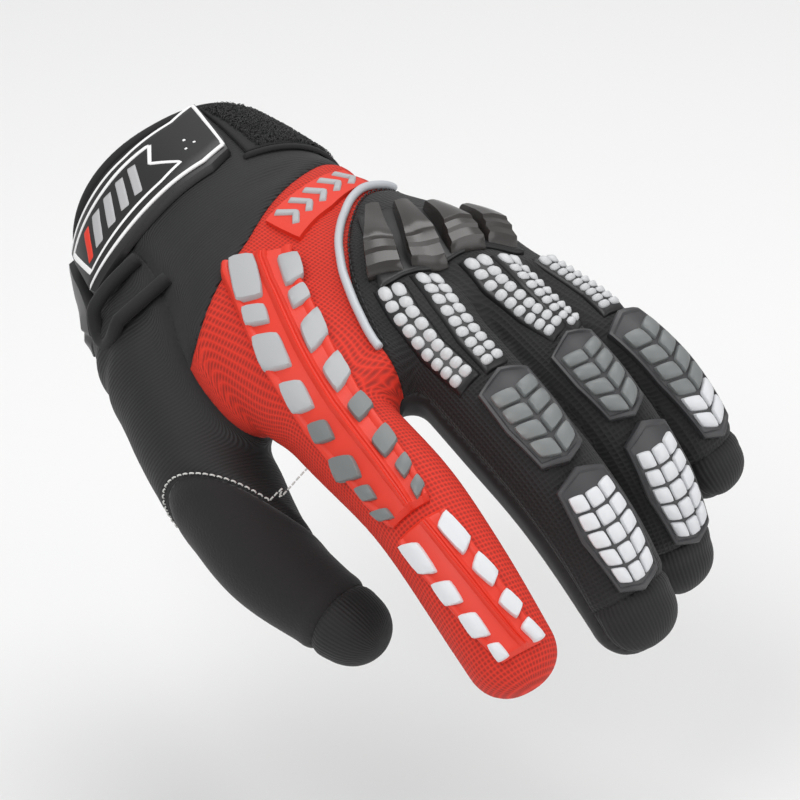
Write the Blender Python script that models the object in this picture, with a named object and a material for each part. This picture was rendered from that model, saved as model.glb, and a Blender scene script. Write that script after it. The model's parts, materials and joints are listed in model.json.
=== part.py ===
"""A left-hand motocross glove as it stands on the hand, built panel by panel. Metres: +X from
the wrist opening to the knuckles, -Y on the thumb's side, +Z towards the back of the hand. The
origin is the middle of the wrist opening. The tables hold shares of the named sizes."""

import math

import bmesh
import bpy
import numpy as np
from mathutils.bvhtree import BVHTree

for old in list(bpy.data.objects):
    bpy.data.objects.remove(old, do_unlink=True)

# The hand: from the wrist opening to its end, over the knuckles, and at the wrist opening. It is
# rolled about its length, so that the thumb edge lies lower.
HAND_LENGTH = 0.109
HAND_WIDTH = 0.090
HAND_DEPTH = 0.055
HAND_ROLL = math.radians(14)
INDEX_LENGTH, INDEX_WIDTH, INDEX_DEPTH = 0.0915, 0.0246, 0.0240
MIDDLE_LENGTH, MIDDLE_WIDTH, MIDDLE_DEPTH = 0.0895, 0.0260, 0.0270
RING_LENGTH, RING_WIDTH, RING_DEPTH = 0.0845, 0.0240, 0.0260
LITTLE_LENGTH, LITTLE_WIDTH, LITTLE_DEPTH = 0.0700, 0.0214, 0.0230
THUMB_LENGTH, THUMB_WIDTH, THUMB_DEPTH = 0.126, 0.038, 0.034
WALL = 0.0016
GAP = 0.0004
LIFT = 0.00045

LONG = np.array((1.0, 0.0, 0.0))
THUMBWARD = np.array((0.0, -math.cos(HAND_ROLL), -math.sin(HAND_ROLL)))
BACKWARD = np.array((0.0, -math.sin(HAND_ROLL), math.cos(HAND_ROLL)))
HAND_SHARES = np.array((HAND_LENGTH, HAND_WIDTH, HAND_DEPTH))

# ---- The skeleton: each tube is a path with a half width and a half depth at each of its rows.
# Columns: along the hand, towards the thumb, towards the back, half width, half depth.
HAND_ROWS = (
    (0, -0.0111, 0, 0.3667, 0.5),
    (0.1284, -0.0056, 0, 0.3778, 0.5),
    (0.3119, 0.0111, 0, 0.3833, 0.4636),
    (0.4587, 0.0333, -0.0091, 0.4056, 0.4273),
    (0.5872, 0.0444, -0.0091, 0.45, 0.3909),
    (0.7156, 0.0389, 0, 0.4889, 0.3636),
    (0.844, 0.0222, 0, 0.5, 0.3273),
    (0.9358, 0.0111, 0, 0.4833, 0.2818),
    (1, 0, 0, 0.4222, 0.2182),
)
# Columns: along the thumb from its root, towards the thumb side, towards the back, half width,
# half depth.
THUMB_ROOT = (0.2018, 0.2444, -0.0364)
THUMB_ROWS = (
    (0, 0, 0, 0.5, 0.5),
    (0.1865, 0.1325, -0.0222, 0.5, 0.5),
    (0.431, 0.2444, -0.1317, 0.4211, 0.4412),
    (0.6579, 0.3032, -0.2484, 0.3421, 0.3676),
    (0.8571, 0.2698, -0.3333, 0.2763, 0.2794),
)
# A fan of rays lays the gear on: its radius is a share of the width, from deep under the flat
# back of the hand to the middle of a finger.
HAND_FAN = 0.667
WRIST_FAN = 0.5
THUMB_FAN = 0.45
FINGER_FANS = (2.4, 1.2, 0.72, 0.56, 0.52, 0.5)


def hand_point(share):
    return np.array(share) * HAND_SHARES


def hand_rows():
    return [
        (*hand_point(row[:3]), row[3] * HAND_WIDTH, row[4] * HAND_DEPTH, HAND_FAN * HAND_WIDTH)
        for row in HAND_ROWS
    ]


def thumb_rows():
    root = hand_point(THUMB_ROOT)
    return [
        (
            *(root + np.array(row[:3]) * THUMB_LENGTH),
            row[3] * THUMB_WIDTH,
            row[4] * THUMB_DEPTH,
            THUMB_FAN * THUMB_WIDTH,
        )
        for row in THUMB_ROWS
    ]


def finger_rows(sizes, metacarpal, knuckle, spreads, bends, bones, half_widths, half_depths):
    """Rows of a finger: two inside the hand, the knuckle, then one for each bone, each bent on
    from the last."""
    length, width, depth = sizes
    wide, deep = np.array(half_widths) * width, np.array(half_depths) * depth
    fans = np.array(FINGER_FANS) * width
    rows = [
        (*hand_point(metacarpal[0]), 0.92 * wide[0], 0.78 * deep[0], fans[0]),
        (*hand_point(metacarpal[1]), 0.96 * wide[0], 0.89 * deep[0], fans[1]),
        (*hand_point(knuckle), wide[0], deep[0], fans[2]),
    ]
    point, bent = hand_point(knuckle), 0.0
    for spread, bend, bone, *row in zip(spreads, bends, bones, wide[1:], deep[1:], fans[3:]):
        bent += math.radians(bend)
        turned = math.radians(spread)
        level = math.cos(bent)
        way = (level * math.cos(turned), level * math.sin(turned), -math.sin(bent))
        point = point + bone * length * np.array(way)
        rows.append((*point, *row))
    return rows


INDEX_ROWS = finger_rows(
    (INDEX_LENGTH, INDEX_WIDTH, INDEX_DEPTH),
    metacarpal=((0.3853, 0.1889, 0.0909), (0.6606, 0.2667, 0.0545)),
    knuckle=(0.8991, 0.35, -0.0182),
    spreads=(6, 9, 9),
    bends=(14, 17, 10),
    bones=(0.4918, 0.2951, 0.2131),
    half_widths=(0.5285, 0.5, 0.4797, 0.4593),
    half_depths=(0.5625, 0.5, 0.4583, 0.4167),
)
MIDDLE_ROWS = finger_rows(
    (MIDDLE_LENGTH, MIDDLE_WIDTH, MIDDLE_DEPTH),
    metacarpal=((0.4128, 0.0333, 0.1455), (0.7339, 0.0222, 0.1182)),
    knuckle=(1, 0.0111, 0.0636),
    spreads=(1, 1, 1),
    bends=(30, 17, 13),
    bones=(0.5587, 0.2793, 0.162),
    half_widths=(0.5, 0.5, 0.4808, 0.4308),
    half_depths=(0.537, 0.5, 0.4519, 0.3704),
)
RING_ROWS = finger_rows(
    (RING_LENGTH, RING_WIDTH, RING_DEPTH),
    metacarpal=((0.4128, -0.1, 0.1091), (0.7339, -0.1667, 0.0727)),
    knuckle=(0.9908, -0.2278, 0.0091),
    spreads=(-4, -4, -4),
    bends=(31, 30, 16),
    bones=(0.5325, 0.2959, 0.1716),
    half_widths=(0.5125, 0.5, 0.4708, 0.4292),
    half_depths=(0.5385, 0.5, 0.45, 0.3846),
)
LITTLE_ROWS = finger_rows(
    (LITTLE_LENGTH, LITTLE_WIDTH, LITTLE_DEPTH),
    metacarpal=((0.4128, -0.2, 0.0364), (0.6881, -0.3111, -0.0545)),
    knuckle=(0.9174, -0.4, -0.1545),
    spreads=(-12, -12, -12),
    bends=(20, 28, 18),
    bones=(0.5429, 0.2857, 0.1714),
    half_widths=(0.5234, 0.5, 0.4766, 0.4346),
    half_depths=(0.5435, 0.5, 0.4565, 0.3913),
)
SMOOTHED_OVER = 0.008
STEP = 0.001


def smooth_path(rows, sideways, root=0):
    """The rows made into a smooth path with a row at each millimetre: interpolated evenly, then
    averaged twice over a short run to each side. Its root is the row that its shares run from."""
    rows = np.array(rows, float)
    along = np.r_[0, np.cumsum(np.linalg.norm(np.diff(rows[:, :3], axis=0), axis=1))]
    even = np.linspace(0, along[-1], int(along[-1] / STEP) + 1)
    table = np.stack([np.interp(even, along, column) for column in rows.T], -1)
    half = round(SMOOTHED_OVER / STEP)
    for _ in range(2):
        before, after = 2 * table[0] - table[half:0:-1], 2 * table[-1] - table[-2 : -half - 2 : -1]
        padded = np.concatenate([before, table, after])
        total = np.cumsum(np.concatenate([np.zeros((1, 6)), padded]), axis=0)
        table = (total[2 * half + 1 :] - total[: -2 * half - 1]) / (2 * half + 1)
    centre = table[:, :3]
    tangent = np.gradient(centre, axis=0)
    tangent /= np.linalg.norm(tangent, axis=1)[:, None]
    normal = np.cross(tangent, sideways)
    normal /= np.linalg.norm(normal, axis=1)[:, None]
    at = np.r_[0, np.cumsum(np.linalg.norm(np.diff(centre, axis=0), axis=1))]
    return {
        "at": at,
        "root": at[-1] * along[root] / along[-1],
        "centre": centre,
        "tangent": tangent,
        "normal": normal,
        "side": np.cross(normal, tangent),
        "width": table[:, 3],
        "depth": table[:, 4],
        "fan": table[:, 5],
    }


def finger_path(rows):
    run = np.array(rows[-1][:3]) - np.array(rows[2][:3])
    turned = math.atan2(run[1], run[0])
    return smooth_path(rows, np.array((-math.sin(turned), math.cos(turned), 0.0)), root=2)


PATHS = {
    "hand": smooth_path(hand_rows(), np.array((0.0, 1.0, 0.0))),
    "index": finger_path(INDEX_ROWS),
    "middle": finger_path(MIDDLE_ROWS),
    "ring": finger_path(RING_ROWS),
    "little": finger_path(LITTLE_ROWS),
    "thumb": smooth_path(thumb_rows(), np.array((0.45, 0.9, 0.15))),
}
WIDTHS = {
    "hand": HAND_WIDTH,
    "wrist": HAND_DEPTH,
    "index": INDEX_WIDTH,
    "middle": MIDDLE_WIDTH,
    "ring": RING_WIDTH,
    "little": LITTLE_WIDTH,
    "thumb": THUMB_WIDTH,
}
FINGERS = ("index", "middle", "ring", "little")
SQUARENESS = {"hand": 2.3, "index": 2.25, "middle": 2.25, "ring": 2.25, "little": 2.25, "thumb": 2.2}
# Each tip's length, as a share of its width.
TIPS = {"hand": 0.1, "index": 0.447, "middle": 0.404, "ring": 0.417, "little": 0.397, "thumb": 0.316}


def at_path(which, share):
    """Each column of a path, read at shares of its length: a finger's runs from its knuckle."""
    path = PATHS["hand" if which == "wrist" else which]
    root = path["root"]
    along = root + np.asarray(share, float) * (path["at"][-1] - root)
    row = {
        key: np.interp(along, path["at"], value)
        if value.ndim == 1
        else np.stack([np.interp(along, path["at"], column) for column in value.T], -1)
        for key, value in path.items()
        if key not in ("at", "root")
    }
    if which == "wrist":
        row["depth"] = row["fan"] = np.full(np.shape(along), WRIST_FAN * HAND_DEPTH)
    return row


# ---- Solids: lofts of rings, closed at both ends, and Booleans of them.
def to_world(points):
    points = np.asarray(points, float)
    return points[:, :1] * LONG + points[:, 1:2] * THUMBWARD + points[:, 2:3] * BACKWARD


def solid(name, points, faces):
    """A mesh object from points in the hand's frame, its faces turned outwards."""
    mesh = bpy.data.meshes.new(name)
    mesh.from_pydata(to_world(points).tolist(), [], [list(map(int, face)) for face in faces])
    work = bmesh.new()
    work.from_mesh(mesh)
    bmesh.ops.remove_doubles(work, verts=work.verts, dist=1e-6)
    bmesh.ops.recalc_face_normals(work, faces=work.faces)
    if work.calc_volume(signed=True) < 0:
        bmesh.ops.reverse_faces(work, faces=work.faces)
    work.to_mesh(mesh)
    work.free()
    made = bpy.data.objects.new(name, mesh)
    bpy.context.scene.collection.objects.link(made)
    return made


def lofted(name, rings):
    """A solid through rings of equal counts, with a flat end at each side."""
    rings = np.asarray(rings, float)
    count, around = rings.shape[:2]
    row, step = np.meshgrid(np.arange(count - 1), np.arange(around), indexing="ij")
    here, there = row * around + step, row * around + (step + 1) % around
    sides = np.stack([here, there, there + around, here + around], -1).reshape(-1, 4)
    first = list(range(around))
    last = [(count - 1) * around + i for i in range(around)][::-1]
    return solid(name, rings.reshape(-1, 3), [*sides.tolist(), first, last])


def tube(name, which, stations, around, grow=0.0, part="whole", split=0.0, run_out=0.0):
    """A tube along a path, rounded at its tip. Grow moves its surface out; part keeps the side
    towards the back or the palm of a flat cut at a share of the depth."""
    bowl = np.radians((0, 28, 52, 70, 82))
    straight = len(stations) - 1
    row = at_path(which, (*stations[:-1], 1, 1, 1, 1, 1))
    shrink = np.r_[np.ones(straight), np.cos(bowl)]
    past = np.r_[np.zeros(straight), np.sin(bowl)] * (TIPS[which] * WIDTHS[which] + grow)
    turn = (np.arange(around) + 0.5) / around * 2 * math.pi
    power = 2 / SQUARENESS[which]
    across = np.sign(np.cos(turn)) * np.abs(np.cos(turn)) ** power
    width = (row["width"] + grow) * shrink
    depth = (row["depth"] + grow) * shrink
    up = np.tile(np.sign(np.sin(turn)) * np.abs(np.sin(turn)) ** power, (len(depth), 1))
    if part == "back":
        up = np.maximum(up, np.maximum(split - grow / depth, -0.95)[:, None])
    elif part == "palm":
        up = np.minimum(up, split)
    centre = row["centre"] + row["tangent"] * past[:, None]
    centre[0] -= row["tangent"][0] * run_out
    return lofted(
        name,
        centre[:, None]
        + row["side"][:, None] * (width[:, None] * across)[..., None]
        + row["normal"][:, None] * (depth[:, None] * up)[..., None],
    )


CLOSE = 5e-6


def combined(first, others, operation):
    """The first object joined with the others, or cut by them, and the others removed."""
    for other in others:
        modifier = first.modifiers.new("combine", "BOOLEAN")
        modifier.operation = operation
        modifier.solver = "EXACT"
        modifier.object = other
        graph = bpy.context.evaluated_depsgraph_get()
        made = bpy.data.meshes.new_from_object(first.evaluated_get(graph))
        first.modifiers.clear()
        work = bmesh.new()
        work.from_mesh(made)
        bmesh.ops.remove_doubles(work, verts=work.verts, dist=CLOSE)
        bmesh.ops.dissolve_degenerate(work, edges=work.edges, dist=CLOSE)
        bmesh.ops.triangulate(work, faces=work.faces)
        work.to_mesh(made)
        work.free()
        old, first.data = first.data, made
        bpy.data.meshes.remove(old)
    for other in others:
        bpy.data.objects.remove(other, do_unlink=True)
    return first


def twin(source, name):
    made = bpy.data.objects.new(name, source.data.copy())
    bpy.context.scene.collection.objects.link(made)
    return made


def largest_body(thing):
    """Keeps the biggest of a mesh's separate bodies: slivers that a cut leaves go."""
    work = bmesh.new()
    work.from_mesh(thing.data)
    left, bodies = set(work.verts), []
    while left:
        queue, body = [left.pop()], []
        while queue:
            vertex = queue.pop()
            body.append(vertex)
            for edge in vertex.link_edges:
                other = edge.other_vert(vertex)
                if other in left:
                    left.discard(other)
                    queue.append(other)
        bodies.append(body)
    bodies.sort(key=len)
    for body in bodies[:-1]:
        bmesh.ops.delete(work, geom=body, context="VERTS")
    work.to_mesh(thing.data)
    work.free()
    return thing


def slab(name, outline):
    """A prism on an outline of (along, towards the thumb) shares, through the hand's depth."""
    flat = np.array(outline, float) * (HAND_LENGTH, HAND_WIDTH)
    deep = 2 * HAND_DEPTH
    return lofted(name, [np.c_[flat, np.full(len(flat), level)] for level in (-deep, deep)])


# ---- The fabric body: an outer and an inner skin, parted into panels by their seams.
STATIONS = {
    "hand": (0, 0.128, 0.256, 0.384, 0.494, 0.603, 0.713, 0.823, 0.905, 0.96, 1),
    "index": (-0.263, 0.021, 0.152, 0.262, 0.36, 0.449, 0.535, 0.624, 0.71, 0.81, 0.908, 1),
    "middle": (-0.269, 0.023, 0.158, 0.27, 0.359, 0.449, 0.54, 0.629, 0.718, 0.808, 0.909, 1),
    "ring": (-0.284, 0.026, 0.156, 0.264, 0.359, 0.443, 0.526, 0.609, 0.694, 0.789, 0.896, 1),
    "little": (-0.323, -0.007, 0.137, 0.266, 0.382, 0.481, 0.582, 0.683, 0.783, 0.884, 1),
    "thumb": (0, 0.159, 0.271, 0.366, 0.462, 0.542, 0.621, 0.701, 0.781, 0.876, 1),
}
AROUND = {"hand": 24, "index": 14, "middle": 14, "ring": 14, "little": 14, "thumb": 16}
SEAM_SHARE = {"hand": -0.12, "index": -0.22, "middle": 0.18, "ring": 0.18, "little": 0.15}


def outer(part, grow, tag):
    """The hand's and fingers' outer solids, or their half towards the back or the palm."""
    pieces = [
        tube(f"{tag}_{name}", name, STATIONS[name], AROUND[name], grow, part, SEAM_SHARE[name])
        for name in ("hand", *FINGERS)
    ]
    return combined(pieces[0], pieces[1:], "UNION")


# The inner skin has fewer facets, and runs out past the wrist opening.
inside = tube("inside", "hand", STATIONS["hand"], 18, -WALL, run_out=HAND_LENGTH / 4)
inside_pieces = [
    tube("inside_" + name, name, STATIONS[name][:1] + STATIONS[name][1::2], 10, -WALL)
    for name in (*FINGERS, "thumb")
]
inside = combined(inside, inside_pieces, "UNION")

# The wrist seam, where the cuff meets the panels, and the piping's line between red and black.
# Columns: along the hand, towards the thumb.
WRIST_SEAM = (
    (0.2569, -0.7778),
    (0.367, -0.3444),
    (0.4771, 0),
    (0.5321, 0.1444),
    (0.6055, 0.4),
    (0.6789, 0.6222),
    (0.7339, 0.8889),
)
PIPING_LINE = (
    (0.4404, -0.7111),
    (0.5138, -0.4667),
    (0.5505, -0.3333),
    (0.6055, -0.2),
    (0.6789, -0.0889),
    (0.7523, -0.0111),
    (0.8257, 0.0667),
    (0.8991, 0.1278),
    (0.9725, 0.1667),
    (1.0459, 0.1867),
    (1.1193, 0.1956),
    (1.2294, 0.2111),
    (1.4679, 0.2444),
)


# Each finger is parted from the hand at its base, and from the next along a line between them.
# Columns: along the hand, towards the thumb.
FINGER_LINES = (
    ((1.02, 0.8), (2.4, 0.8)),
    ((1.02, 0.185), (1.235, 0.192), (2.4, 0.2)),
    ((1.235, -0.1206), (1.4679, -0.1333), (2.4, -0.17)),
    ((1.235, -0.3689), (1.3761, -0.3978), (2.4, -0.5)),
    ((1.235, -1.1), (2.4, -1.1)),
)
FINGER_BASES = (1.02, 1.235, 1.235, 1.235)


def wrist_cut(side, reach):
    """A prism of all that lies beyond the wrist seam, half a gap off it."""
    line = np.array(WRIST_SEAM) + (side * GAP / 2 / HAND_LENGTH, 0)
    return slab("wrist_cut", [*line.tolist(), (reach, line[-1, 1]), (reach, line[0, 1])])


def piping_cut(side):
    """A prism of all that lies on the thumb's side of the piping, or on the other side."""
    line = np.array(PIPING_LINE) - (0, side * GAP / 2 / HAND_WIDTH)
    far = [(2.4, line[-1, 1]), (2.4, side * 1.4), (-0.6, side * 1.4), (-0.6, line[0, 1])]
    return slab("piping_cut", [*line.tolist(), *far])


def finger_cut(number, side):
    """A prism of one finger beyond its base: its own share with side 1, all but the hand's with -1."""
    near = np.array(FINGER_LINES[number]) - (0, side * GAP / 2 / HAND_WIDTH)
    far = np.array(FINGER_LINES[number + 1]) + (0, side * GAP / 2 / HAND_WIDTH)
    near[0, 0] = far[0, 0] = FINGER_BASES[number] + side * GAP / 2 / HAND_LENGTH
    return slab("finger_cut", [*near.tolist(), *far[::-1].tolist()])


# Each panel is cut to its seams first and hollowed last.
def hollowed(thing):
    thing = largest_body(combined(thing, [twin(inside, "hollow")], "DIFFERENCE"))
    work = bmesh.new()
    work.from_mesh(thing.data)
    flat = math.radians(2)
    bmesh.ops.dissolve_limit(work, angle_limit=flat, verts=work.verts, edges=work.edges)
    bmesh.ops.triangulate(work, faces=work.faces)
    work.to_mesh(thing.data)
    work.free()
    return largest_body(thing)


def parted(panel, numbers, side_name):
    """The panel without its fingers, and each finger as a piece of its own."""
    for number in numbers:
        finger = twin(panel, f"{FINGERS[number]}_finger_{side_name}")
        hollowed(combined(finger, [finger_cut(number, 1)], "INTERSECT"))
    cuts = [finger_cut(number, -1) for number in numbers]
    return hollowed(combined(panel, cuts, "DIFFERENCE"))


# Towards the back of the hand: the red index panel and the black mesh panel.
back = combined(outer("back", 0.0, "back"), [wrist_cut(1, -0.6)], "DIFFERENCE")
parted(combined(twin(back, "index_panel"), [piping_cut(-1)], "DIFFERENCE"), (0,), "back")
parted(combined(twin(back, "back_panel"), [piping_cut(1)], "DIFFERENCE"), (1, 2, 3), "back")
bpy.data.objects.remove(back, do_unlink=True)

# Towards the palm: one black panel and the fingers' fronts.
palm_panel = outer("palm", 0.0, "palm")
palm_panel.name = "palm_panel"
palm_panel = combined(palm_panel, [outer("back", GAP, "grown"), wrist_cut(1, -0.6)], "DIFFERENCE")
parted(palm_panel, (0, 1, 2, 3), "front")

# The cuff, and the thumb let into the side of the hand.
cuff = tube("cuff", "hand", STATIONS["hand"], AROUND["hand"])
cuff = hollowed(combined(cuff, [wrist_cut(-1, 1.9)], "DIFFERENCE"))
thumb = tube("thumb", "thumb", STATIONS["thumb"], AROUND["thumb"])
thumb = combined(thumb, [outer("whole", GAP, "grown")], "DIFFERENCE")

# The thumb's suede end starts at a slanted seam.
THUMB_SEAM = 0.59
row = at_path("thumb", THUMB_SEAM)
ahead = row["tangent"] + 0.8 * row["side"]
ahead /= np.linalg.norm(ahead)


def thumb_block(start, end):
    """A block square to the slanted seam's line, from start to end along it."""
    flat = np.cross(row["normal"], ahead)
    corners = np.array(((-1, -1), (1, -1), (1, 1), (-1, 1))) * THUMB_LENGTH / 2
    return lofted(
        "thumb_block",
        [
            [row["centre"] + ahead * reach + flat * u + row["normal"] * v for u, v in corners]
            for reach in (start, end)
        ],
    )


thumb_tip = twin(thumb, "thumb_tip")
thumb_tip = hollowed(combined(thumb_tip, [thumb_block(-THUMB_LENGTH, GAP / 2)], "DIFFERENCE"))
thumb = hollowed(combined(thumb, [thumb_block(-GAP / 2, THUMB_LENGTH)], "DIFFERENCE"))
bpy.data.objects.remove(inside, do_unlink=True)

# ---- The gear on the fabric: each piece is laid out along a path and across it, and set on the
# fabric by a ray from inside the tube. Along is a share of the path's length, from the knuckle on
# a finger, and across is a share of the width.
skin = bmesh.new()
uncut = outer("whole", 0.0, "whole"), tube("uncut", "thumb", STATIONS["thumb"], AROUND["thumb"])
for thing in uncut:
    skin.from_mesh(thing.data)
    bpy.data.objects.remove(thing, do_unlink=True)
FABRIC = BVHTree.FromBMesh(skin)
skin.free()
FAR_OUT = (HAND_DEPTH + THUMB_DEPTH) / 2


def on_fabric(which, along, across, lift):
    """Points on the fabric at these shares along a path and across it, lifted off it."""
    row = at_path(which, along)
    angle = np.asarray(across) * WIDTHS[which] / row["fan"]
    ray = row["normal"] * np.cos(angle)[:, None] + row["side"] * np.sin(angle)[:, None]
    base = row["centre"] + row["normal"] * (row["depth"] - row["fan"])[:, None]
    out = row["fan"] + FAR_OUT
    starts, rays = to_world(base + ray * out[:, None]), to_world(-ray)
    found = [FABRIC.ray_cast(start.tolist(), way.tolist()) for start, way in zip(starts, rays)]
    reach = np.array([hit[3] if hit[0] else FAR_OUT for hit in found])
    return base + ray * (out - reach + lift)[:, None]


def cells(count, across):
    row, step = np.meshgrid(np.arange(count - 1), np.arange(across - 1), indexing="ij")
    corner = row * across + step
    return np.stack([corner, corner + 1, corner + across + 1, corner + across], -1).reshape(-1, 4)


def clearance(which, along, aside, lift, grid):
    """The lift for each grid point that keeps the flat cells between them off the fabric."""
    lifted = np.full(along.size, lift)
    share = np.linspace(0, 1, 5)
    u, v = (part.ravel() for part in np.meshgrid(share, share))
    weight = np.stack([(1 - u) * (1 - v), u * (1 - v), u * v, (1 - u) * v], -1)
    middle_along = (along.ravel()[grid] @ weight.T).ravel()
    middle_aside = (aside.ravel()[grid] @ weight.T).ravel()
    fabric = on_fabric(which, middle_along, middle_aside, 0.0)
    ray = on_fabric(which, middle_along, middle_aside, 1.0) - fabric
    for _ in range(4):
        points = on_fabric(which, along.ravel(), aside.ravel(), lifted)
        flat = np.einsum("nk,ckj->cnj", weight, points[grid]).reshape(-1, 3)
        short = 0.9 * LIFT - np.einsum("ij,ij->i", flat - fabric, ray)
        worst = np.maximum(short.reshape(len(grid), -1).max(axis=1), 0)
        more = np.zeros(along.size)
        np.maximum.at(more, grid, worst[:, None])
        lifted = lifted + more
    return lifted


def laid(name, which, rows, thick, count=7, across=5, lift=LIFT, chevron=(0, 0), ridge=0.0):
    """A flat piece with bevelled edges between rows of two points, each (along, across). Chevron
    carries the middle of its first and last edges forward; ridge raises its middle line."""
    rows = np.array(rows, float)
    down = np.r_[0, np.linspace(0.05, 0.95, count - 2), 1]
    over = np.r_[0, np.linspace(0.14, 0.86, across - 2), 1]
    spaced = np.linspace(0, 1, len(rows))
    table = np.stack([np.interp(down, spaced, column) for column in rows.T], -1)
    peak = 1 - np.abs(2 * over - 1)
    forward = np.outer(chevron[0] + (chevron[1] - chevron[0]) * down, peak)
    along = table[:, :1] * (1 - over) + table[:, 2:3] * over + forward
    aside = table[:, 1:2] * (1 - over) + table[:, 3:4] * over
    edge = np.full((count, across), 1.0)
    edge[[0, -1]] = edge[:, [0, -1]] = 0.5
    height = (thick * edge + ridge * peak * (edge == 1)).ravel()
    grid = cells(count, across)
    lifted = clearance(which, along, aside, lift, grid)
    low = on_fabric(which, along.ravel(), aside.ravel(), lifted)
    high = on_fabric(which, along.ravel(), aside.ravel(), lifted + height)
    size = count * across
    rim = [
        *range(across),
        *range(2 * across - 1, size, across),
        *range(size - 2, size - across - 1, -1),
        *range(size - 2 * across, 0, -across),
    ]
    skirt = [(a, b, b + size, a + size) for a, b in zip(rim, rim[1:] + rim[:1])]
    faces = [*grid.tolist(), *(grid[:, ::-1] + size).tolist(), *skirt]
    return solid(name, np.concatenate([low, high]), faces)


def pushed_clear(points, distance):
    """The points moved away from the fabric until each stands at least this far from it."""
    world = to_world(points)
    for _ in range(40):
        for spot in world:
            near, _, _, apart = FABRIC.find_nearest(spot.tolist())
            if apart < distance:
                spot += (spot - np.array(near)) / max(apart, 1e-6) * (distance - apart)
    return np.stack([world @ LONG, world @ THUMBWARD, world @ BACKWARD], -1)


def cord(name, centre, radius, around=6):
    """A round cord through these points, with flat ends."""
    tangent = np.gradient(centre, axis=0)
    tangent /= np.linalg.norm(tangent, axis=1)[:, None]
    first = np.cross(tangent, (0.2, 0.3, 0.9))
    first /= np.linalg.norm(first, axis=1)[:, None]
    second = np.cross(tangent, first)
    turn = np.arange(around) / around * 2 * math.pi
    return lofted(
        name,
        centre[:, None]
        + first[:, None] * (radius * np.cos(turn))[:, None]
        + second[:, None] * (radius * np.sin(turn))[:, None],
    )


# The strap's tab over the cuff, its base at the thumb side, and the fuzzy landing patch. Columns:
# along, across, along, across, for the two edges.
STRAP_THICKNESS = 0.0022
STRAP_LIFT = 0.0012
BASE_THICKNESS = 0.0028
BASE_LIFT = 0.0008
LANDING_THICKNESS = 0.0012
STRAP_ROWS = (
    (0.009, -0.218, 0.256, -0.109),
    (0.046, -0.036, 0.283, 0.036),
    (0.055, 0.255, 0.293, 0.327),
    (0.046, 0.509, 0.302, 0.545),
    (0.037, 0.709, 0.311, 0.7),
)
BASE_ROWS = (
    (0.027, 0.736, 0.32, 0.718),
    (0.018, 0.818, 0.311, 0.8),
    (0.018, 0.945, 0.283, 0.891),
)
LANDING_ROWS = (
    (0.027, -0.655, 0.256, -0.655),
    (0.027, -0.436, 0.274, -0.436),
    (0.027, -0.245, 0.274, -0.164),
)
laid("strap", "wrist", STRAP_ROWS, STRAP_THICKNESS, count=12, lift=STRAP_LIFT)
laid("strap_base", "wrist", BASE_ROWS, BASE_THICKNESS, count=5, lift=BASE_LIFT)
laid("landing_patch", "wrist", LANDING_ROWS, LANDING_THICKNESS)

# The loop to pull the glove on by, beside the strap's base. Columns: along, across, and the
# height of its middle in radii.
LOOP_RADIUS = 0.0026
LOOP_ROWS = (
    (0.352, 0.564, 1.3),
    (0.354, 0.645, 1.45),
    (0.366, 0.718, 1.7),
    (0.393, 0.764, 1.9),
    (0.43, 0.764, 1.9),
    (0.457, 0.718, 1.7),
    (0.469, 0.645, 1.45),
    (0.471, 0.564, 1.3),
)
along, aside, height = np.array(LOOP_ROWS).T
loop_points = on_fabric("wrist", along, aside, height * LOOP_RADIUS)
cord("pull_loop", pushed_clear(loop_points, 1.5 * LOOP_RADIUS), LOOP_RADIUS, around=8)

# The piping over the seam between red and black, up to the web between the first two fingers.
PIPING_RADIUS = 0.00115
line = np.array(PIPING_LINE[1:-3])
steps = np.linspace(0, len(line) - 1, 32)
along, aside = (np.interp(steps, range(len(line)), column) for column in line.T)
aside = HAND_FAN * np.arcsin(np.clip(aside / HAND_FAN, -0.9, 0.9))
piping_points = on_fabric("hand", along, aside, np.full(len(steps), PIPING_RADIUS + LIFT))
cord("piping", pushed_clear(piping_points, PIPING_RADIUS + 1.3 * LIFT), PIPING_RADIUS)

# The raised plaque beside the wrist seam.
PLAQUE_THICKNESS = 0.0018
PLAQUE_ROWS = (
    (0.548, 0.044, 0.667, 0.033),
    (0.485, -0.122, 0.612, -0.133),
    (0.439, -0.289, 0.548, -0.311),
)
laid("wrist_plaque", "hand", PLAQUE_ROWS, PLAQUE_THICKNESS, count=6)

# The knuckle guard: a low pad with four fins, each narrow towards the wrist and wide at the
# knuckles. Columns of a fin: its narrow end along and across, its wide end along and across.
PAD_THICKNESS = 0.0014
FIN_HEIGHT = 0.0055
FIN_WIDTH = 0.0084
GUARD_ROWS = (
    (0.695, -0.144, 0.823, -0.411),
    (0.823, -0.044, 0.914, -0.428),
    (0.942, 0.061, 1.006, -0.417),
)
FINS = (
    (0.704, -0.189, 0.923, 0.011),
    (0.74, -0.25, 0.964, -0.106),
    (0.786, -0.311, 0.983, -0.228),
    (0.832, -0.389, 0.987, -0.356),
)
guard = laid("knuckle_guard", "hand", GUARD_ROWS, PAD_THICKNESS, count=7, across=9, lift=1.3 * LIFT)
spread = np.array((HAND_LENGTH, HAND_WIDTH))
fins = []
for number, (*start, stop, to_side) in enumerate(FINS):
    start, end = np.array(start) * spread, np.array((stop, to_side)) * spread
    way = (end - start) / np.linalg.norm(end - start)
    aside = np.array((-way[1], way[0])) * FIN_WIDTH / 2
    rows = [
        (*(middle + aside * half) / spread, *(middle - aside * half) / spread)
        for share, half in ((0, 0.38), (0.5, 0.7), (1, 1))
        for middle in [start * (1 - share) + end * share]
    ]
    fins.append(
        laid(f"fin_{number}", "hand", np.reshape(rows, (3, 4)), FIN_HEIGHT, 5, 4, lift=3 * LIFT)
    )
combined(guard, fins, "UNION")

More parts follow.
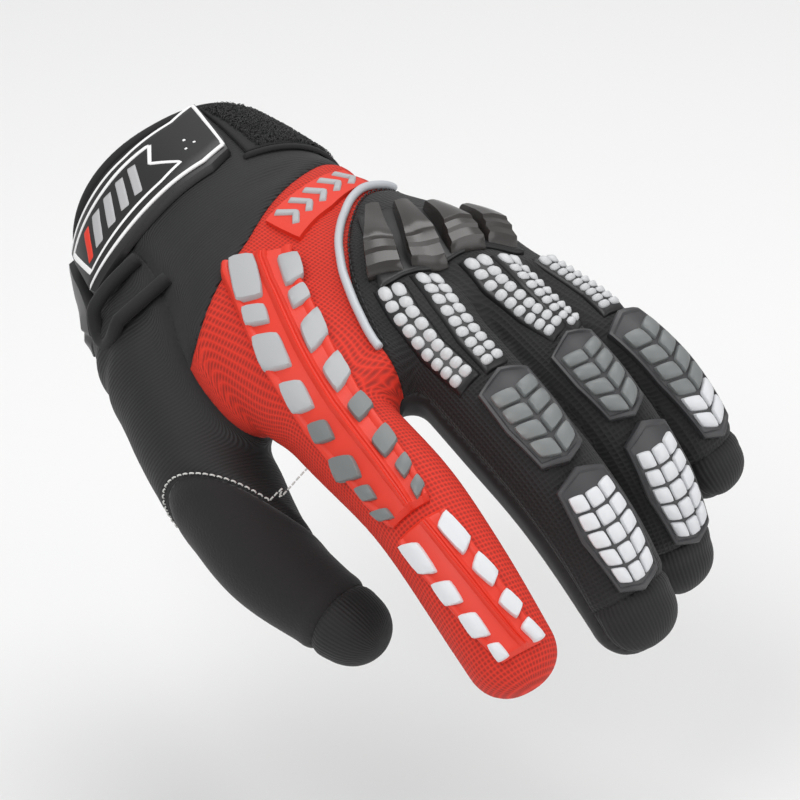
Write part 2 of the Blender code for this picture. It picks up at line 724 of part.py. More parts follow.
# Strips of beads over the back, in (along, across) points down each strip's middle.
BEAD_STRIP_WIDTH = 0.0062
BEAD_HEIGHT = 0.0020
BEAD_STRIPS = {
    "bead_strip_middle_inner": (
        "middle",
        ((-0.06, 0.15), (0.01, 0.246), (0.112, 0.308), (0.253, 0.254)),
    ),
    "bead_strip_middle_outer": (
        "middle",
        ((-0.049, -0.269), (0.04, -0.158), (0.133, -0.092), (0.253, -0.1)),
    ),
    "bead_strip_ring_inner": (
        "ring",
        ((-0.039, 0), (0.047, 0.1), (0.16, 0.083), (0.271, -0.021)),
    ),
    "bead_strip_ring_outer": (
        "ring",
        ((-0.013, -0.388), (0.097, -0.275), (0.204, -0.258), (0.281, -0.333)),
    ),
    "bead_strip_little": (
        "little",
        ((0.05, -0.257), (0.172, -0.234), (0.284, -0.21), (0.394, -0.117)),
    ),
}
for name, (which, points) in BEAD_STRIPS.items():
    half = BEAD_STRIP_WIDTH / 2 / WIDTHS[which]
    rows = [(along, aside + half, along, aside - half) for along, aside in points]
    laid(name, which, rows, BEAD_HEIGHT, count=9, across=4)

# Plates on the fingers. Columns: along, across, along, across, for the two edges.
PLATE_THICKNESS = 0.0020
SPINE_HEIGHT = 0.0005
INDEX_UPPER_ROWS = (
    (-0.45, 0.122, -0.296, -0.467),
    (-0.253, 0.285, -0.132, -0.346),
    (-0.055, 0.386, 0.043, -0.264),
    (0.075, 0.467, 0.197, -0.163),
    (0.206, 0.549, 0.349, -0.102),
    (0.349, 0.569, 0.47, -0.061),
    (0.481, 0.569, 0.547, -0.02),
    (0.579, 0.488, 0.584, 0.041),
)
INDEX_LOWER_ROWS = (
    (0.612, 0.508, 0.612, -0.041),
    (0.743, 0.48, 0.733, -0.089),
    (0.876, 0.398, 0.864, -0.122),
    (0.99, 0.285, 0.985, -0.163),
)
laid("index_plate_upper", "index", INDEX_UPPER_ROWS, PLATE_THICKNESS, 15, ridge=SPINE_HEIGHT)
laid("index_plate_lower", "index", INDEX_LOWER_ROWS, PLATE_THICKNESS, 8, ridge=SPINE_HEIGHT)
# Each plate on the other fingers: its finger, its rows and how far its ends point forward.
PLATES = {
    "middle_plate_upper": (
        "middle",
        ((0.303, 0.269, 0.303, -0.346), (0.438, 0.288, 0.438, -0.308), (0.562, 0.25, 0.562, -0.231)),
        (-0.034, 0.022),
    ),
    "middle_plate_lower": (
        "middle",
        ((0.624, 0.269, 0.624, -0.269), (0.763, 0.315, 0.763, -0.288), (0.921, 0.231, 0.921, -0.192)),
        (-0.027, 0.027),
    ),
    "ring_plate_upper": (
        "ring",
        ((0.318, 0.271, 0.318, -0.333), (0.431, 0.292, 0.431, -0.292), (0.539, 0.25, 0.539, -0.229)),
        (-0.035, 0.023),
    ),
    "ring_plate_lower": (
        "ring",
        ((0.604, 0.271, 0.604, -0.292), (0.753, 0.312, 0.753, -0.312), (0.908, 0.229, 0.908, -0.229)),
        (-0.03, 0.03),
    ),
    "little_plate": (
        "little",
        ((0.446, 0.257, 0.446, -0.35), (0.654, 0.304, 0.654, -0.327), (0.877, 0.234, 0.877, -0.21)),
        (-0.029, 0.037),
    ),
}
for name, (which, rows, chevron) in PLATES.items():
    laid(name, which, rows, PLATE_THICKNESS, chevron=chevron)
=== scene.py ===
"""The looks of a motocross glove in its worn shape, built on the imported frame. Lengths are in
millimetres in the hand's frame (along the hand, towards the thumb, towards the back), and made()
turns them into metres in the frame of the row."""

import json
import math

import bmesh
import bpy
import numpy as np
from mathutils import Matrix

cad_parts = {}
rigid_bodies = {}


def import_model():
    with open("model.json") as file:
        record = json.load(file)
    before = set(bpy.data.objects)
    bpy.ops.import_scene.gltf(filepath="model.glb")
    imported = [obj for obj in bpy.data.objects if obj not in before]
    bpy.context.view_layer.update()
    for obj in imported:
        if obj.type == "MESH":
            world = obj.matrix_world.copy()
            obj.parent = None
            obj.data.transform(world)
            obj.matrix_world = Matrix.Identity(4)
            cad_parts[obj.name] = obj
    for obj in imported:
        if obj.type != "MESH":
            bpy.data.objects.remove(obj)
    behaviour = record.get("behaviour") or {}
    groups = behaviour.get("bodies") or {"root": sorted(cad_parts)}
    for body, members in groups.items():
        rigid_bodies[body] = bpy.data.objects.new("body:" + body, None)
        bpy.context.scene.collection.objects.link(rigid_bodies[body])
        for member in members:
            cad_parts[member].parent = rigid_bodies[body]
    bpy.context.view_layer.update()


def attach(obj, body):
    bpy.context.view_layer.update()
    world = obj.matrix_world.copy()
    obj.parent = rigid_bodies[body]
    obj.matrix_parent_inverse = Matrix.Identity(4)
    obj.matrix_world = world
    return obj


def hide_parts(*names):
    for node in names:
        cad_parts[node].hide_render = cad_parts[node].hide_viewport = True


for old in list(bpy.data.objects):
    bpy.data.objects.remove(old, do_unlink=True)
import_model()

# The glove's fabric: stretch cloth, mesh, palm cloth and suede, sewn together over a hand's worn form.
# Each tube is a smooth path with a half width and half depth, and the fabric is the surface where the
# smooth minimum of the tubes' distances is 0.
ROLL = math.radians(14)
AXES = np.array(
    (
        (1, 0, 0),
        (0, -math.cos(ROLL), -math.sin(ROLL)),
        (0, -math.sin(ROLL), math.cos(ROLL)),
    )
)

# Columns: along, towards the thumb, towards the back, half width, half depth, fan radius.
HAND_ROWS = (
    (0, -1, 0, 33, 27.5, 60),
    (14, -0.5, 0, 34, 27.5, 60),
    (34, 1, 0, 34.5, 25.5, 60),
    (50, 3, -0.5, 36.5, 23.5, 60),
    (64, 4, -0.5, 40.5, 21.5, 60),
    (78, 3.5, 0, 44, 20, 60),
    (92, 2, 0, 45, 18, 60),
    (102, 1, 0, 43.5, 15.5, 60),
    (109, 0, 0, 38, 12, 60),
)
THUMB_ROWS = (
    (22, 22, -2, 19, 17, 20),
    (45.5, 38.7, -4.8, 19, 17, 19),
    (76.3, 52.8, -18.6, 16, 15, 16),
    (104.9, 60.2, -33.3, 13, 12.5, 13),
    (130, 56, -44, 10.5, 9.5, 11),
)


def finger_rows(inner, middle, knuckle, spreads, bends, bones, widths, depths):
    """Rows of a finger: two inside the hand, the knuckle, then one for each bone."""
    rows = [
        (*inner, widths[0] - 1, depths[0] - 3, 60),
        (*middle, widths[0] - 0.5, depths[0] - 1.5, 30),
        (*knuckle, widths[0], depths[0], 18),
    ]
    point, bent = np.array(knuckle, float), 0.0
    for spread, bend, bone, *row in zip(
        spreads, bends, bones, widths[1:], depths[1:], (14, 13, 12.5)
    ):
        turned, bent = math.radians(spread), bent + math.radians(bend)
        way = (math.cos(turned) * math.cos(bent), math.sin(turned) * math.cos(bent))
        point = point + bone * np.array((*way, -math.sin(bent)))
        rows.append((*point, *row))
    return rows


FINGER_ROWS = {
    "index": finger_rows(
        (42, 17, 5), (72, 24, 3), (98, 31.5, -1), (6, 9, 9), (14, 17, 10),
        (45, 27, 19.5), (13, 12.3, 11.8, 11.3), (13.5, 12, 11, 10),
    ),
    "middle": finger_rows(
        (45, 3, 8), (80, 2, 6.5), (109, 1, 3.5), (1, 1, 1), (30, 17, 13),
        (50, 25, 14.5), (13, 13, 12.5, 11.2), (14.5, 13.5, 12.2, 10),
    ),
    "ring": finger_rows(
        (45, -9, 6), (80, -15, 4), (108, -20.5, 0.5), (-4, -4, -4), (31, 30, 16),
        (45, 25, 14.5), (12.3, 12, 11.3, 10.3), (14, 13, 11.7, 10),
    ),
    "little": finger_rows(
        (45, -18, 2), (75, -28, -3), (100, -36, -8.5), (-12, -12, -12), (20, 28, 18),
        (38, 20, 12), (11.2, 10.7, 10.2, 9.3), (12.5, 11.5, 10.5, 9),
    ),
}
POWERS = {"hand": 2.3, "index": 2.25, "middle": 2.25, "ring": 2.25, "little": 2.25, "thumb": 2.2}
TIP_LENGTHS = {"hand": 9, "index": 11, "middle": 10.5, "ring": 10, "little": 8.5, "thumb": 12}
ROOT_LENGTHS = {"index": 9, "middle": 9, "ring": 9, "little": 9, "thumb": 14}


def smooth_path(rows, sideways):
    """The rows as a path with a sample each millimetre, averaged twice over 17 samples."""
    rows = np.array(rows, float)
    along = np.r_[0, np.cumsum(np.linalg.norm(np.diff(rows[:, :3], axis=0), axis=1))]
    even = np.linspace(0, along[-1], int(along[-1]) + 1)
    table = np.stack([np.interp(even, along, column) for column in rows.T], -1)
    for _ in range(2):
        padded = np.concatenate([2 * table[0] - table[8:0:-1], table, 2 * table[-1] - table[-2:-10:-1]])
        total = np.cumsum(np.concatenate([np.zeros((1, 6)), padded]), axis=0)
        table = (total[17:] - total[:-17]) / 17
    centre = table[:, :3]
    tangent = np.gradient(centre, axis=0)
    tangent /= np.linalg.norm(tangent, axis=1)[:, None]
    normal = np.cross(tangent, sideways)
    normal /= np.linalg.norm(normal, axis=1)[:, None]
    return {
        "s": np.r_[0, np.cumsum(np.linalg.norm(np.diff(centre, axis=0), axis=1))],
        # columns: centre, tangent, normal, side, half width, half depth, fan radius
        "row": np.concatenate([centre, tangent, normal, np.cross(normal, tangent), table[:, 3:]], 1),
    }


def across(rows):
    run = np.array(rows[-1][:3]) - np.array(rows[2][:3])
    turned = math.atan2(run[1], run[0])
    return np.array((-math.sin(turned), math.cos(turned), 0))


PATHS = {
    "hand": smooth_path(HAND_ROWS, np.array((0, 1.0, 0))),
    **{name: smooth_path(rows, across(rows)) for name, rows in FINGER_ROWS.items()},
    "thumb": smooth_path(THUMB_ROWS, np.array((0.45, 0.9, 0.15))),
}
WRIST_FAN = 28.0


def at_path(name, s):
    """The path's columns at distances along it, and past its ends its last ones."""
    path = PATHS["hand" if name == "wrist" else name]
    row = np.stack([np.interp(s, path["s"], column) for column in path["row"].T], -1)
    if name == "wrist":
        row[..., 13:15] = WRIST_FAN
    return row


def tube_place(name, points):
    """For each point, the nearest place on a path: its distance along, side and normal offsets,
    half width and depth, and how far it lies beyond the ends."""
    path = PATHS[name]
    centre = path["row"][:, :3]
    near = (points @ (-2 * centre.T) + (centre**2).sum(1)).argmin(1)
    offset = points - centre[near]
    s = path["s"][near] + np.einsum("ij,ij->i", offset, path["row"][near, 3:6])
    inside = np.clip(s, 0, path["s"][-1])
    row = at_path(name, inside)
    offset = points - row[:, :3]
    side = np.einsum("ij,ij->i", offset, row[:, 9:12])
    up = np.einsum("ij,ij->i", offset, row[:, 6:9])
    return inside, side, up, row[:, 12], row[:, 13], s - inside


def tube_distance(name, points):
    """r - r / q, for the distance r from the path and the superellipse measure q of the tube."""
    _, side, up, wide, deep, past = tube_place(name, points)
    power, root = POWERS[name], ROOT_LENGTHS.get(name)
    beyond = np.maximum(past, 0) / TIP_LENGTHS[name]
    if root:
        beyond = beyond + np.maximum(-past, 0) / root
    r = np.sqrt(side**2 + up**2 + np.where(past > 0, past, past if root else 0) ** 2)
    q = (np.abs(side / wide) ** power + np.abs(up / deep) ** power + beyond**power) ** (1 / power)
    return r - r / np.maximum(q, 1e-6)


def softer(a, b, reach):
    """The smooth minimum: b + (a - b) h - reach h (1 - h), with h = 1/2 + (b - a) / (2 reach)."""
    share = np.clip(0.5 + 0.5 * (b - a) / reach, 0, 1)
    return b * (1 - share) + a * share - reach * share * (1 - share)


def distance(points):
    """The distance from the fabric: the least over the fingers and thumb, each melted into the
    hand over 7 mm and 11 mm."""
    hand = tube_distance("hand", points)
    fingers = [softer(hand, tube_distance(name, points), 7) for name in FINGER_ROWS]
    return np.minimum.reduce([*fingers, softer(hand, tube_distance("thumb", points), 11)])


# The fans' reach: for a grid of distances along and round, how far the fabric is from the fan's
# centre. surface() reads it, so that each piece of gear lies on the fabric.
FAN_GRIDS = {}
FAN_SPANS = {
    "hand": (30, 116, 66), "wrist": (-2, 62, 66), "index": (10, 156, 34), "middle": (40, 158, 26),
    "ring": (45, 152, 26), "little": (45, 132, 24), "thumb": (20, 132, 44),
}


def fan_rays(name, s, l):
    row = at_path(name, s)
    past = np.maximum(s - PATHS["hand" if name == "wrist" else name]["s"][-1], 0)
    angle = l / row[..., 14]
    ray = row[..., 6:9] * np.cos(angle)[..., None] + row[..., 9:12] * np.sin(angle)[..., None]
    start = row[..., :3] + row[..., 6:9] * (row[..., 13] - row[..., 14])[..., None]
    return start + row[..., 3:6] * past[..., None], ray, row[..., 14]


def fan_grid(name):
    """The reach of each ray on the grid, by a march inwards from 18 mm out and 11 halvings."""
    low, high, wide = FAN_SPANS[name]
    s, l = np.meshgrid(np.arange(low, high + 1.0), np.arange(-wide, wide + 1.0, 1.0), indexing="ij")
    start, ray, fan = (part.reshape(s.size, -1) for part in fan_rays(name, s, l))
    fan = fan[:, 0]
    steps = np.linspace(18, -14, 17)
    found = np.zeros(len(fan), bool)
    outer, inner = fan + steps[0], fan + steps[-1]
    for before, after in zip(steps, steps[1:]):
        left = np.flatnonzero(~found)
        hit = left[distance(start[left] + ray[left] * (fan[left] + after)[:, None]) < 0]
        outer[hit], inner[hit], found[hit] = fan[hit] + before, fan[hit] + after, True
    for _ in range(11):
        middle = (outer + inner) / 2
        under = distance(start + ray * middle[:, None]) < 0
        inner, outer = np.where(under, middle, inner), np.where(under, outer, middle)
    return ((outer + inner) / 2).reshape(s.shape)


def surface(name, s, l, lift=0.0):
    """Points on the fabric at these distances along a path and round its fan, lifted off it."""
    if name not in FAN_GRIDS:
        FAN_GRIDS[name] = fan_grid(name)
    low, high, wide = FAN_SPANS[name]
    s, l = np.broadcast_arrays(np.asarray(s, float), np.asarray(l, float))
    grid = FAN_GRIDS[name]
    i = np.clip(s - low, 0, high - low - 1e-6)
    j = np.clip(l + wide, 0, 2 * wide - 1e-6)
    a, b = i.astype(int), j.astype(int)
    u, v = i - a, j - b
    reach = (
        grid[a, b] * (1 - u) * (1 - v) + grid[a + 1, b] * u * (1 - v)
        + grid[a, b + 1] * (1 - u) * v + grid[a + 1, b + 1] * u * v
    )
    start, ray, _ = fan_rays(name, s, l)
    return start + ray * (reach + lift)[..., None]


def made(name, shape, material, nodes=(), uv=None, turn=True, wall=0.0):
    """An object from points in the hand's frame and arrays of faces, which rides on the frame."""
    points, faces = shape
    faces = [np.asarray(part) for part in (faces if isinstance(faces, list) else [faces])]
    mesh = bpy.data.meshes.new(name)
    points = np.asarray(points, float).reshape(-1, 3) @ AXES / 1000
    mesh.vertices.add(len(points))
    mesh.vertices.foreach_set("co", points.ravel())
    loops = np.concatenate([part.ravel() for part in faces])
    sides = np.concatenate([np.full(len(part), part.shape[1]) for part in faces])
    mesh.loops.add(len(loops))
    mesh.loops.foreach_set("vertex_index", loops)
    mesh.polygons.add(len(sides))
    mesh.polygons.foreach_set("loop_start", np.r_[0, np.cumsum(sides)[:-1]])
    mesh.polygons.foreach_set("loop_total", sides)
    mesh.polygons.foreach_set("use_smooth", np.ones(len(sides), bool))
    mesh.update(calc_edges=True)
    if uv is not None:
        layer = mesh.uv_layers.new(name="weave")
        layer.data.foreach_set("uv", np.asarray(uv)[loops].ravel())
    if turn:
        work = bmesh.new()
        work.from_mesh(mesh)
        bmesh.ops.recalc_face_normals(work, faces=work.faces)
        work.to_mesh(mesh)
        work.free()
    mesh.materials.append(material)
    made_object = bpy.data.objects.new(name, mesh)
    bpy.context.scene.collection.objects.link(made_object)
    if wall:
        solid = made_object.modifiers.new("wall", "SOLIDIFY")
        solid.thickness, solid.offset = wall / 1000, -1
    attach(made_object, "root")
    if nodes:
        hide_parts(*nodes)
    return made_object


def node_math(tree, operation, first, second=0.0):
    node = tree.nodes.new("ShaderNodeMath")
    node.operation = operation
    for socket, value in zip(node.inputs, (first, second)):
        if isinstance(value, (int, float)):
            socket.default_value = value
        else:
            tree.links.new(value, socket)
    return node.outputs[0]


def material(name, colour, rough, weave=None, depth=0.0, dark=1.0, grain=0.0, sheen=0.0, coat=0.0):
    """A principled material. weave is (kind, period in mm): ribs along or round, or a mesh with
    holes; dark is the colour's share in its hollows, painted shade there. grain is a fine noise's depth in
    mm."""
    made_material = bpy.data.materials.new(name)
    made_material.use_nodes = True
    tree = made_material.node_tree
    shader = tree.nodes["Principled BSDF"]
    shader.inputs["Base Color"].default_value = (*colour, 1)
    shader.inputs["Roughness"].default_value = rough
    shader.inputs["Sheen Weight"].default_value = sheen
    shader.inputs["Sheen Roughness"].default_value = 0.5
    shader.inputs["Coat Weight"].default_value = coat
    shader.inputs["Coat Roughness"].default_value = 0.25
    bump = None
    if weave:
        kind, period = weave
        uv = tree.nodes.new("ShaderNodeUVMap")
        uv.uv_map = "weave"
        split = tree.nodes.new("ShaderNodeSeparateXYZ")
        tree.links.new(uv.outputs[0], split.inputs[0])
        wave = [
            node_math(tree, "SINE", node_math(tree, "MULTIPLY", split.outputs[i], 2 * math.pi / period))
            for i in (0, 1)
        ]
        if kind == "mesh":
            product = node_math(tree, "MULTIPLY", wave[0], wave[1])
            height = node_math(tree, "MULTIPLY", node_math(tree, "ABSOLUTE", product), -1.0)
            height = node_math(tree, "ADD", height, 1.0)
        else:
            chosen = wave[1] if kind == "round" else wave[0]
            height = node_math(tree, "MULTIPLY", node_math(tree, "ADD", chosen, 1.0), 0.5)
        # The weave's hollows get the darker colour: painted shade in them.
        hollow_shade_mix = tree.nodes.new("ShaderNodeMix")
        hollow_shade_mix.data_type = "RGBA"
        hollow_shade_mix.inputs[6].default_value = (*(dark * np.array(colour)), 1)
        hollow_shade_mix.inputs[7].default_value = (*colour, 1)
        tree.links.new(height, hollow_shade_mix.inputs[0])
        tree.links.new(hollow_shade_mix.outputs[2], shader.inputs["Base Color"])
        bump = tree.nodes.new("ShaderNodeBump")
        bump.inputs["Strength"].default_value = 0.7
        bump.inputs["Distance"].default_value = depth / 1000
        tree.links.new(height, bump.inputs["Height"])
    if grain:
        coordinates = tree.nodes.new("ShaderNodeTexCoord")
        noise = tree.nodes.new("ShaderNodeTexNoise")
        noise.inputs["Scale"].default_value = 1400
        noise.inputs["Detail"].default_value = 3
        tree.links.new(coordinates.outputs["Object"], noise.inputs["Vector"])
        second = tree.nodes.new("ShaderNodeBump")
        second.inputs["Strength"].default_value = 0.6
        second.inputs["Distance"].default_value = grain / 1000
        tree.links.new(noise.outputs[0], second.inputs["Height"])
        if bump:
            tree.links.new(bump.outputs[0], second.inputs["Normal"])
        bump = second
    if bump:
        tree.links.new(bump.outputs[0], shader.inputs["Normal"])
    return made_material


def quads(rows, columns, closed=False):
    """The faces of a grid of points, which is closed round its columns or open."""
    i, j = np.meshgrid(np.arange(rows - 1), np.arange(columns if closed else columns - 1), indexing="ij")
    here, there = i * columns + j, i * columns + (j + 1) % columns
    return np.stack([here, there, there + columns, here + columns], -1).reshape(-1, 4)


def joined(parts):
    """Several (points, faces) as one."""
    points, faces, count = [], [], 0
    for some, quads_of in parts:
        points.append(some)
        faces.append(np.asarray(quads_of) + count)
        count += len(some)
    return np.concatenate(points), np.concatenate(faces)


def rising(x):
    """0 below 0, 1 over 1, and a smooth step between: 3 x^2 - 2 x^3."""
    x = np.clip(x, 0, 1)
    return x * x * (3 - 2 * x)


def stitches(line, out, pitch=2.2, length=1.5, radius=0.28):
    """Short threads along a line of points: each an arc that dips into the cloth at both ends."""
    along = np.r_[0, np.cumsum(np.linalg.norm(np.diff(line, axis=0), axis=1))]
    count = max(int(along[-1] / pitch), 1)
    share = np.linspace(-0.5, 0.5, 5)
    at = (np.arange(count) + 0.5)[:, None] * pitch + share * length
    middle = np.stack([np.interp(at, along, column) for column in line.T], -1)
    up = np.stack([np.interp(at, along, column) for column in out.T], -1)
    middle = middle + up * (radius * 0.9 - 1.6 * radius * (2 * share) ** 4)[:, None]
    way = np.gradient(middle, axis=1)
    way /= np.linalg.norm(way, axis=2)[..., None]
    side = np.cross(way, up)
    side /= np.linalg.norm(side, axis=2)[..., None]
    turn = np.arange(6) / 6 * 2 * math.pi
    ring = side[:, :, None] * np.cos(turn)[:, None] + np.cross(side, way)[:, :, None] * np.sin(turn)[:, None]
    points = (middle[:, :, None] + radius * ring).reshape(-1, 3)
    body = quads(5, 6, closed=True)
    start = (np.arange(count) * 30)[:, None, None]
    return points, (body[None] + start).reshape(-1, 4)


def outwards(name, s, l):
    """The fan's rays at these places, for threads to stand along."""
    return fan_rays(name, np.asarray(s, float), np.asarray(l, float))[1]


RED = (0.70, 0.026, 0.008)
# In the mesh and ribbed fabrics the last unnamed number is the colour's share in the weave's hollows: painted
# shade there.
RED_MESH = material("red mesh fabric", RED, 0.75, ("mesh", 2.3), 0.2, 0.45)
BLACK_MESH = material("black mesh fabric", (0.009, 0.009, 0.010), 0.75, ("mesh", 2.3), 0.25, 0.25, sheen=0.06)
RIBBED = material("ribbed stretch fabric", (0.009, 0.009, 0.010), 0.7, ("round", 0.95), 0.16, 0.4, sheen=0.05)
RIBBED_TIP = material(
    "ribbed fingertip fabric", (0.010, 0.010, 0.011), 0.75, ("along", 1.1), 0.16, 0.3, sheen=0.05
)
PALM_CLOTH = material("smooth palm fabric", (0.008, 0.008, 0.009), 0.7, grain=0.1, sheen=0.06)
SUEDE = material("suede", (0.012, 0.011, 0.012), 0.95, grain=0.25, sheen=0.12)
LINING = material("binding", (0.008, 0.008, 0.009), 0.85, grain=0.15, sheen=0.05)
THREAD = material("white thread", (0.6, 0.6, 0.58), 0.8)


# Next the tubes are joined by a voxel remesh and moved onto the worn form, then cut along the seams
# into panels 1.3 mm thick. Each seam is a shallow groove.
def ringed(name):
    """A closed tube round a path, for the remesh: rings from its root to its rounded tip."""
    path = PATHS[name]
    bowl = np.radians(np.linspace(0, 80, 6))
    straight = np.linspace(-8 if name == "hand" else 0, path["s"][-1], 60)
    row = np.concatenate([at_path(name, straight), np.repeat(at_path(name, path["s"][-1:]), 6, 0)])
    past = np.r_[np.minimum(straight, 0), np.sin(bowl) * TIP_LENGTHS[name]]
    shrink = np.r_[np.ones(60), np.cos(bowl)]
    turn = np.arange(40) / 40 * 2 * math.pi
    power = 2 / POWERS[name]
    wide = np.sign(np.cos(turn)) * np.abs(np.cos(turn)) ** power
    deep = np.sign(np.sin(turn)) * np.abs(np.sin(turn)) ** power
    centre = row[:, :3] + row[:, 3:6] * past[:, None]
    points = (
        centre[:, None]
        + row[:, None, 9:12] * ((row[:, 12] * shrink)[:, None] * wide)[..., None]
        + row[:, None, 6:9] * ((row[:, 13] * shrink)[:, None] * deep)[..., None]
    )
    return points.reshape(-1, 3), len(points)


work = bmesh.new()
for name in PATHS:
    points, count = ringed(name)
    verts = [work.verts.new(point) for point in (points @ AXES / 1000).tolist()]
    for a, b, c, d in quads(count, 40, closed=True).tolist():
        work.faces.new((verts[a], verts[b], verts[c], verts[d]))
    work.faces.new(verts[:40])
    work.faces.new(verts[-40:][::-1])
bmesh.ops.recalc_face_normals(work, faces=work.faces)
mesh = bpy.data.meshes.new("form")
work.to_mesh(mesh)
work.free()
form = bpy.data.objects.new("form", mesh)
bpy.context.scene.collection.objects.link(form)
remesh = form.modifiers.new("voxels", "REMESH")
remesh.mode, remesh.voxel_size = "VOXEL", 0.00115
graph = bpy.context.evaluated_depsgraph_get()
mesh = bpy.data.meshes.new_from_object(form.evaluated_get(graph))
bpy.data.objects.remove(form, do_unlink=True)
mesh.calc_loop_triangles()
points = np.empty(len(mesh.vertices) * 3)
mesh.vertices.foreach_get("co", points)
points = points.reshape(-1, 3) * 1000 @ AXES.T
triangles = np.empty(len(mesh.loop_triangles) * 3, np.int32)
mesh.loop_triangles.foreach_get("vertices", triangles)
triangles = triangles.reshape(-1, 3)
edges = np.concatenate([triangles[:, [0, 1]], triangles[:, [1, 2]], triangles[:, [2, 0]]])
edges = np.concatenate([edges, edges[:, ::-1]])
degree = np.bincount(edges[:, 0], minlength=len(points))[:, None]


def evened(values):
    """Each point's values moved halfway to the mean of its neighbours'."""
    sums = [np.bincount(edges[:, 0], column[edges[:, 1]], len(points)) for column in values.T]
    return 0.5 * values + 0.5 * np.stack(sums, -1) / degree


def slopes(points):
    """The direction in which the distance grows, from differences over 0.4 mm."""
    here = distance(points)
    ways = np.stack([distance(points + 0.4 * way) - here for way in np.eye(3)], -1)
    return ways / np.linalg.norm(ways, axis=1)[:, None], here[:, None]


for rounds in (6, 3, 1):
    for _ in range(rounds):
        points = evened(points)
    normals, far = slopes(points)
    points = points - normals * np.clip(far, -2.5, 2.5)
for _ in range(2):
    normals, far = slopes(points)
    points = points - normals * far
for _ in range(4):
    normals = evened(normals)
normals /= np.linalg.norm(normals, axis=1)[:, None]

# What each point belongs to, and its place on the cloth. The weave's coordinates are those of the
# tubes, mixed by how near each is, and shifted so that they agree at the knuckles.
SPLITS = {"hand": -0.12, "index": -0.22, "middle": 0.18, "ring": 0.18, "little": 0.15, "thumb": 0}
names = list(PATHS)
places = {name: tube_place(name, points) for name in names}
apart = np.stack([tube_distance(name, points) for name in names], -1)
weight = np.exp(-(apart - apart.min(1)[:, None]) / 1.6)
weight /= weight.sum(1)[:, None]
weave, split, tip = np.zeros((len(points), 2)), np.zeros(len(points)), np.full(len(points), -99.0)
TIP_SEAMS = {"middle": 148, "ring": 142, "little": 124}
for number, name in enumerate(names):
    s, side, up, wide, deep, past = places[name]
    knuckle = FINGER_ROWS[name][2] if name in FINGER_ROWS else (0, 0)
    at = tube_place(name, np.array([[*knuckle[:2], 0.0]]))[0][0] if name in FINGER_ROWS else 0
    round_l = np.arctan2(side, up) * np.sqrt(wide * deep) + knuckle[1]
    share = weight[:, number]
    weave += share[:, None] * np.stack([round_l, s + past + knuckle[0] - at], -1)
    split += share * (up / deep - SPLITS[name]) * deep
    nearest = apart.argmin(1) == number
    if name in TIP_SEAMS:
        tip = np.where(nearest, s + past - TIP_SEAMS[name], tip)


# Columns: along the hand, towards the thumb.
WRIST_SEAM = np.array(((28, -70), (40, -31), (52, 0), (58, 13), (66, 36), (74, 56), (80, 80)), float)
PIPING_LINE = np.array(
    ((48, -64), (56, -42), (60, -30), (66, -18), (74, -8), (82, -1), (90, 6), (98, 11.5), (106, 15),
     (114, 16.8), (122, 17.6), (134, 19), (160, 22)), float,
)


def line_distance(x, y, line_x, line_y):
    """Signed distance of y over the line y(x), made even by its slope: (y - f) / sqrt(1 + f'^2)."""
    slope = np.gradient(line_y, line_x)
    return (y - np.interp(x, line_x, line_y)) / np.sqrt(1 + np.interp(x, line_x, slope) ** 2)


thumb_number = names.index("thumb")
others = np.delete(apart, thumb_number, axis=1).min(1)

# The red reaches further round on the thumb's side.
split += 4.5 * rising((points[:, 1] - 24) / 14) * rising((points[:, 0] - 62) / 14)
s_thumb, side_thumb = places["thumb"][0] + places["thumb"][5], places["thumb"][1]
fields = {
    "x": points[:, 0],
    "y": points[:, 1],
    "z": points[:, 2],
    "nx": normals[:, 0],
    "ny": normals[:, 1],
    "nz": normals[:, 2],
    "u": weave[:, 0],
    "v": weave[:, 1],
    "mouth": points[:, 0],
    "wrist": line_distance(points[:, 1], points[:, 0], WRIST_SEAM[:, 1], WRIST_SEAM[:, 0]),
    "piping": line_distance(points[:, 0], points[:, 1], PIPING_LINE[:, 0], PIPING_LINE[:, 1]),
    "thumb": (others - apart[:, thumb_number]) * 0.7,
    "back": split,
    "thumb_seam": (s_thumb + 1.2 * side_thumb - 91) / 1.56,
    "thumb_end": s_thumb - 123,
    "tip": tip,
    "s_thumb": s_thumb,
    "side_thumb": side_thumb,
}
COLUMN = {name: number for number, name in enumerate(fields)}
data = np.stack(list(fields.values()), -1)
for _ in range(6):
    data[:, 6:] = evened(data[:, 6:])
body = data, triangles


def clipped(data, triangles, column, sign=1):
    """The part of a mesh where a column of its data, times the sign, is over 0. A triangle that
    crosses 0 is cut there, and all columns are interpolated."""
    value = sign * data[:, COLUMN[column]]
    inside = value > 0
    count = inside[triangles].sum(1)
    whole = triangles[count == 3]
    turned = []
    for number in (1, 2):
        part = triangles[count == number]
        first = (inside[part] == (number == 1)).argmax(1)
        turned.append(np.take_along_axis(part, (first[:, None] + np.arange(3)) % 3, axis=1))
    edges = np.concatenate([np.concatenate([part[:, [0, 1]], part[:, [0, 2]]]) for part in turned])
    edges.sort(axis=1)
    unique, back = np.unique(edges, axis=0, return_inverse=True)
    back = back.reshape(-1) + len(data)
    a, b = unique.T
    share = (value[a] / (value[a] - value[b]))[:, None]
    data = np.concatenate([data, data[a] * (1 - share) + data[b] * share])
    one, two = (len(part) for part in turned)
    ab, ac = back[:one], back[one : 2 * one]
    cut_one = np.stack([turned[0][:, 0], ab, ac], -1)
    ab, ac = back[2 * one : 2 * one + two], back[2 * one + two :]
    _, b, c = turned[1].T
    cut_two = np.concatenate([np.stack([ab, b, c], -1), np.stack([ab, c, ac], -1)])
    triangles = np.concatenate([whole, cut_one, cut_two])
    used, triangles = np.unique(triangles, return_inverse=True)
    return data[used], triangles.reshape(-1, 3)


def region(*rules):
    """The body where each rule holds: (column, sign) pairs."""
    part = body
    for column, sign in rules:
        part = clipped(*part, column, sign)
    return part


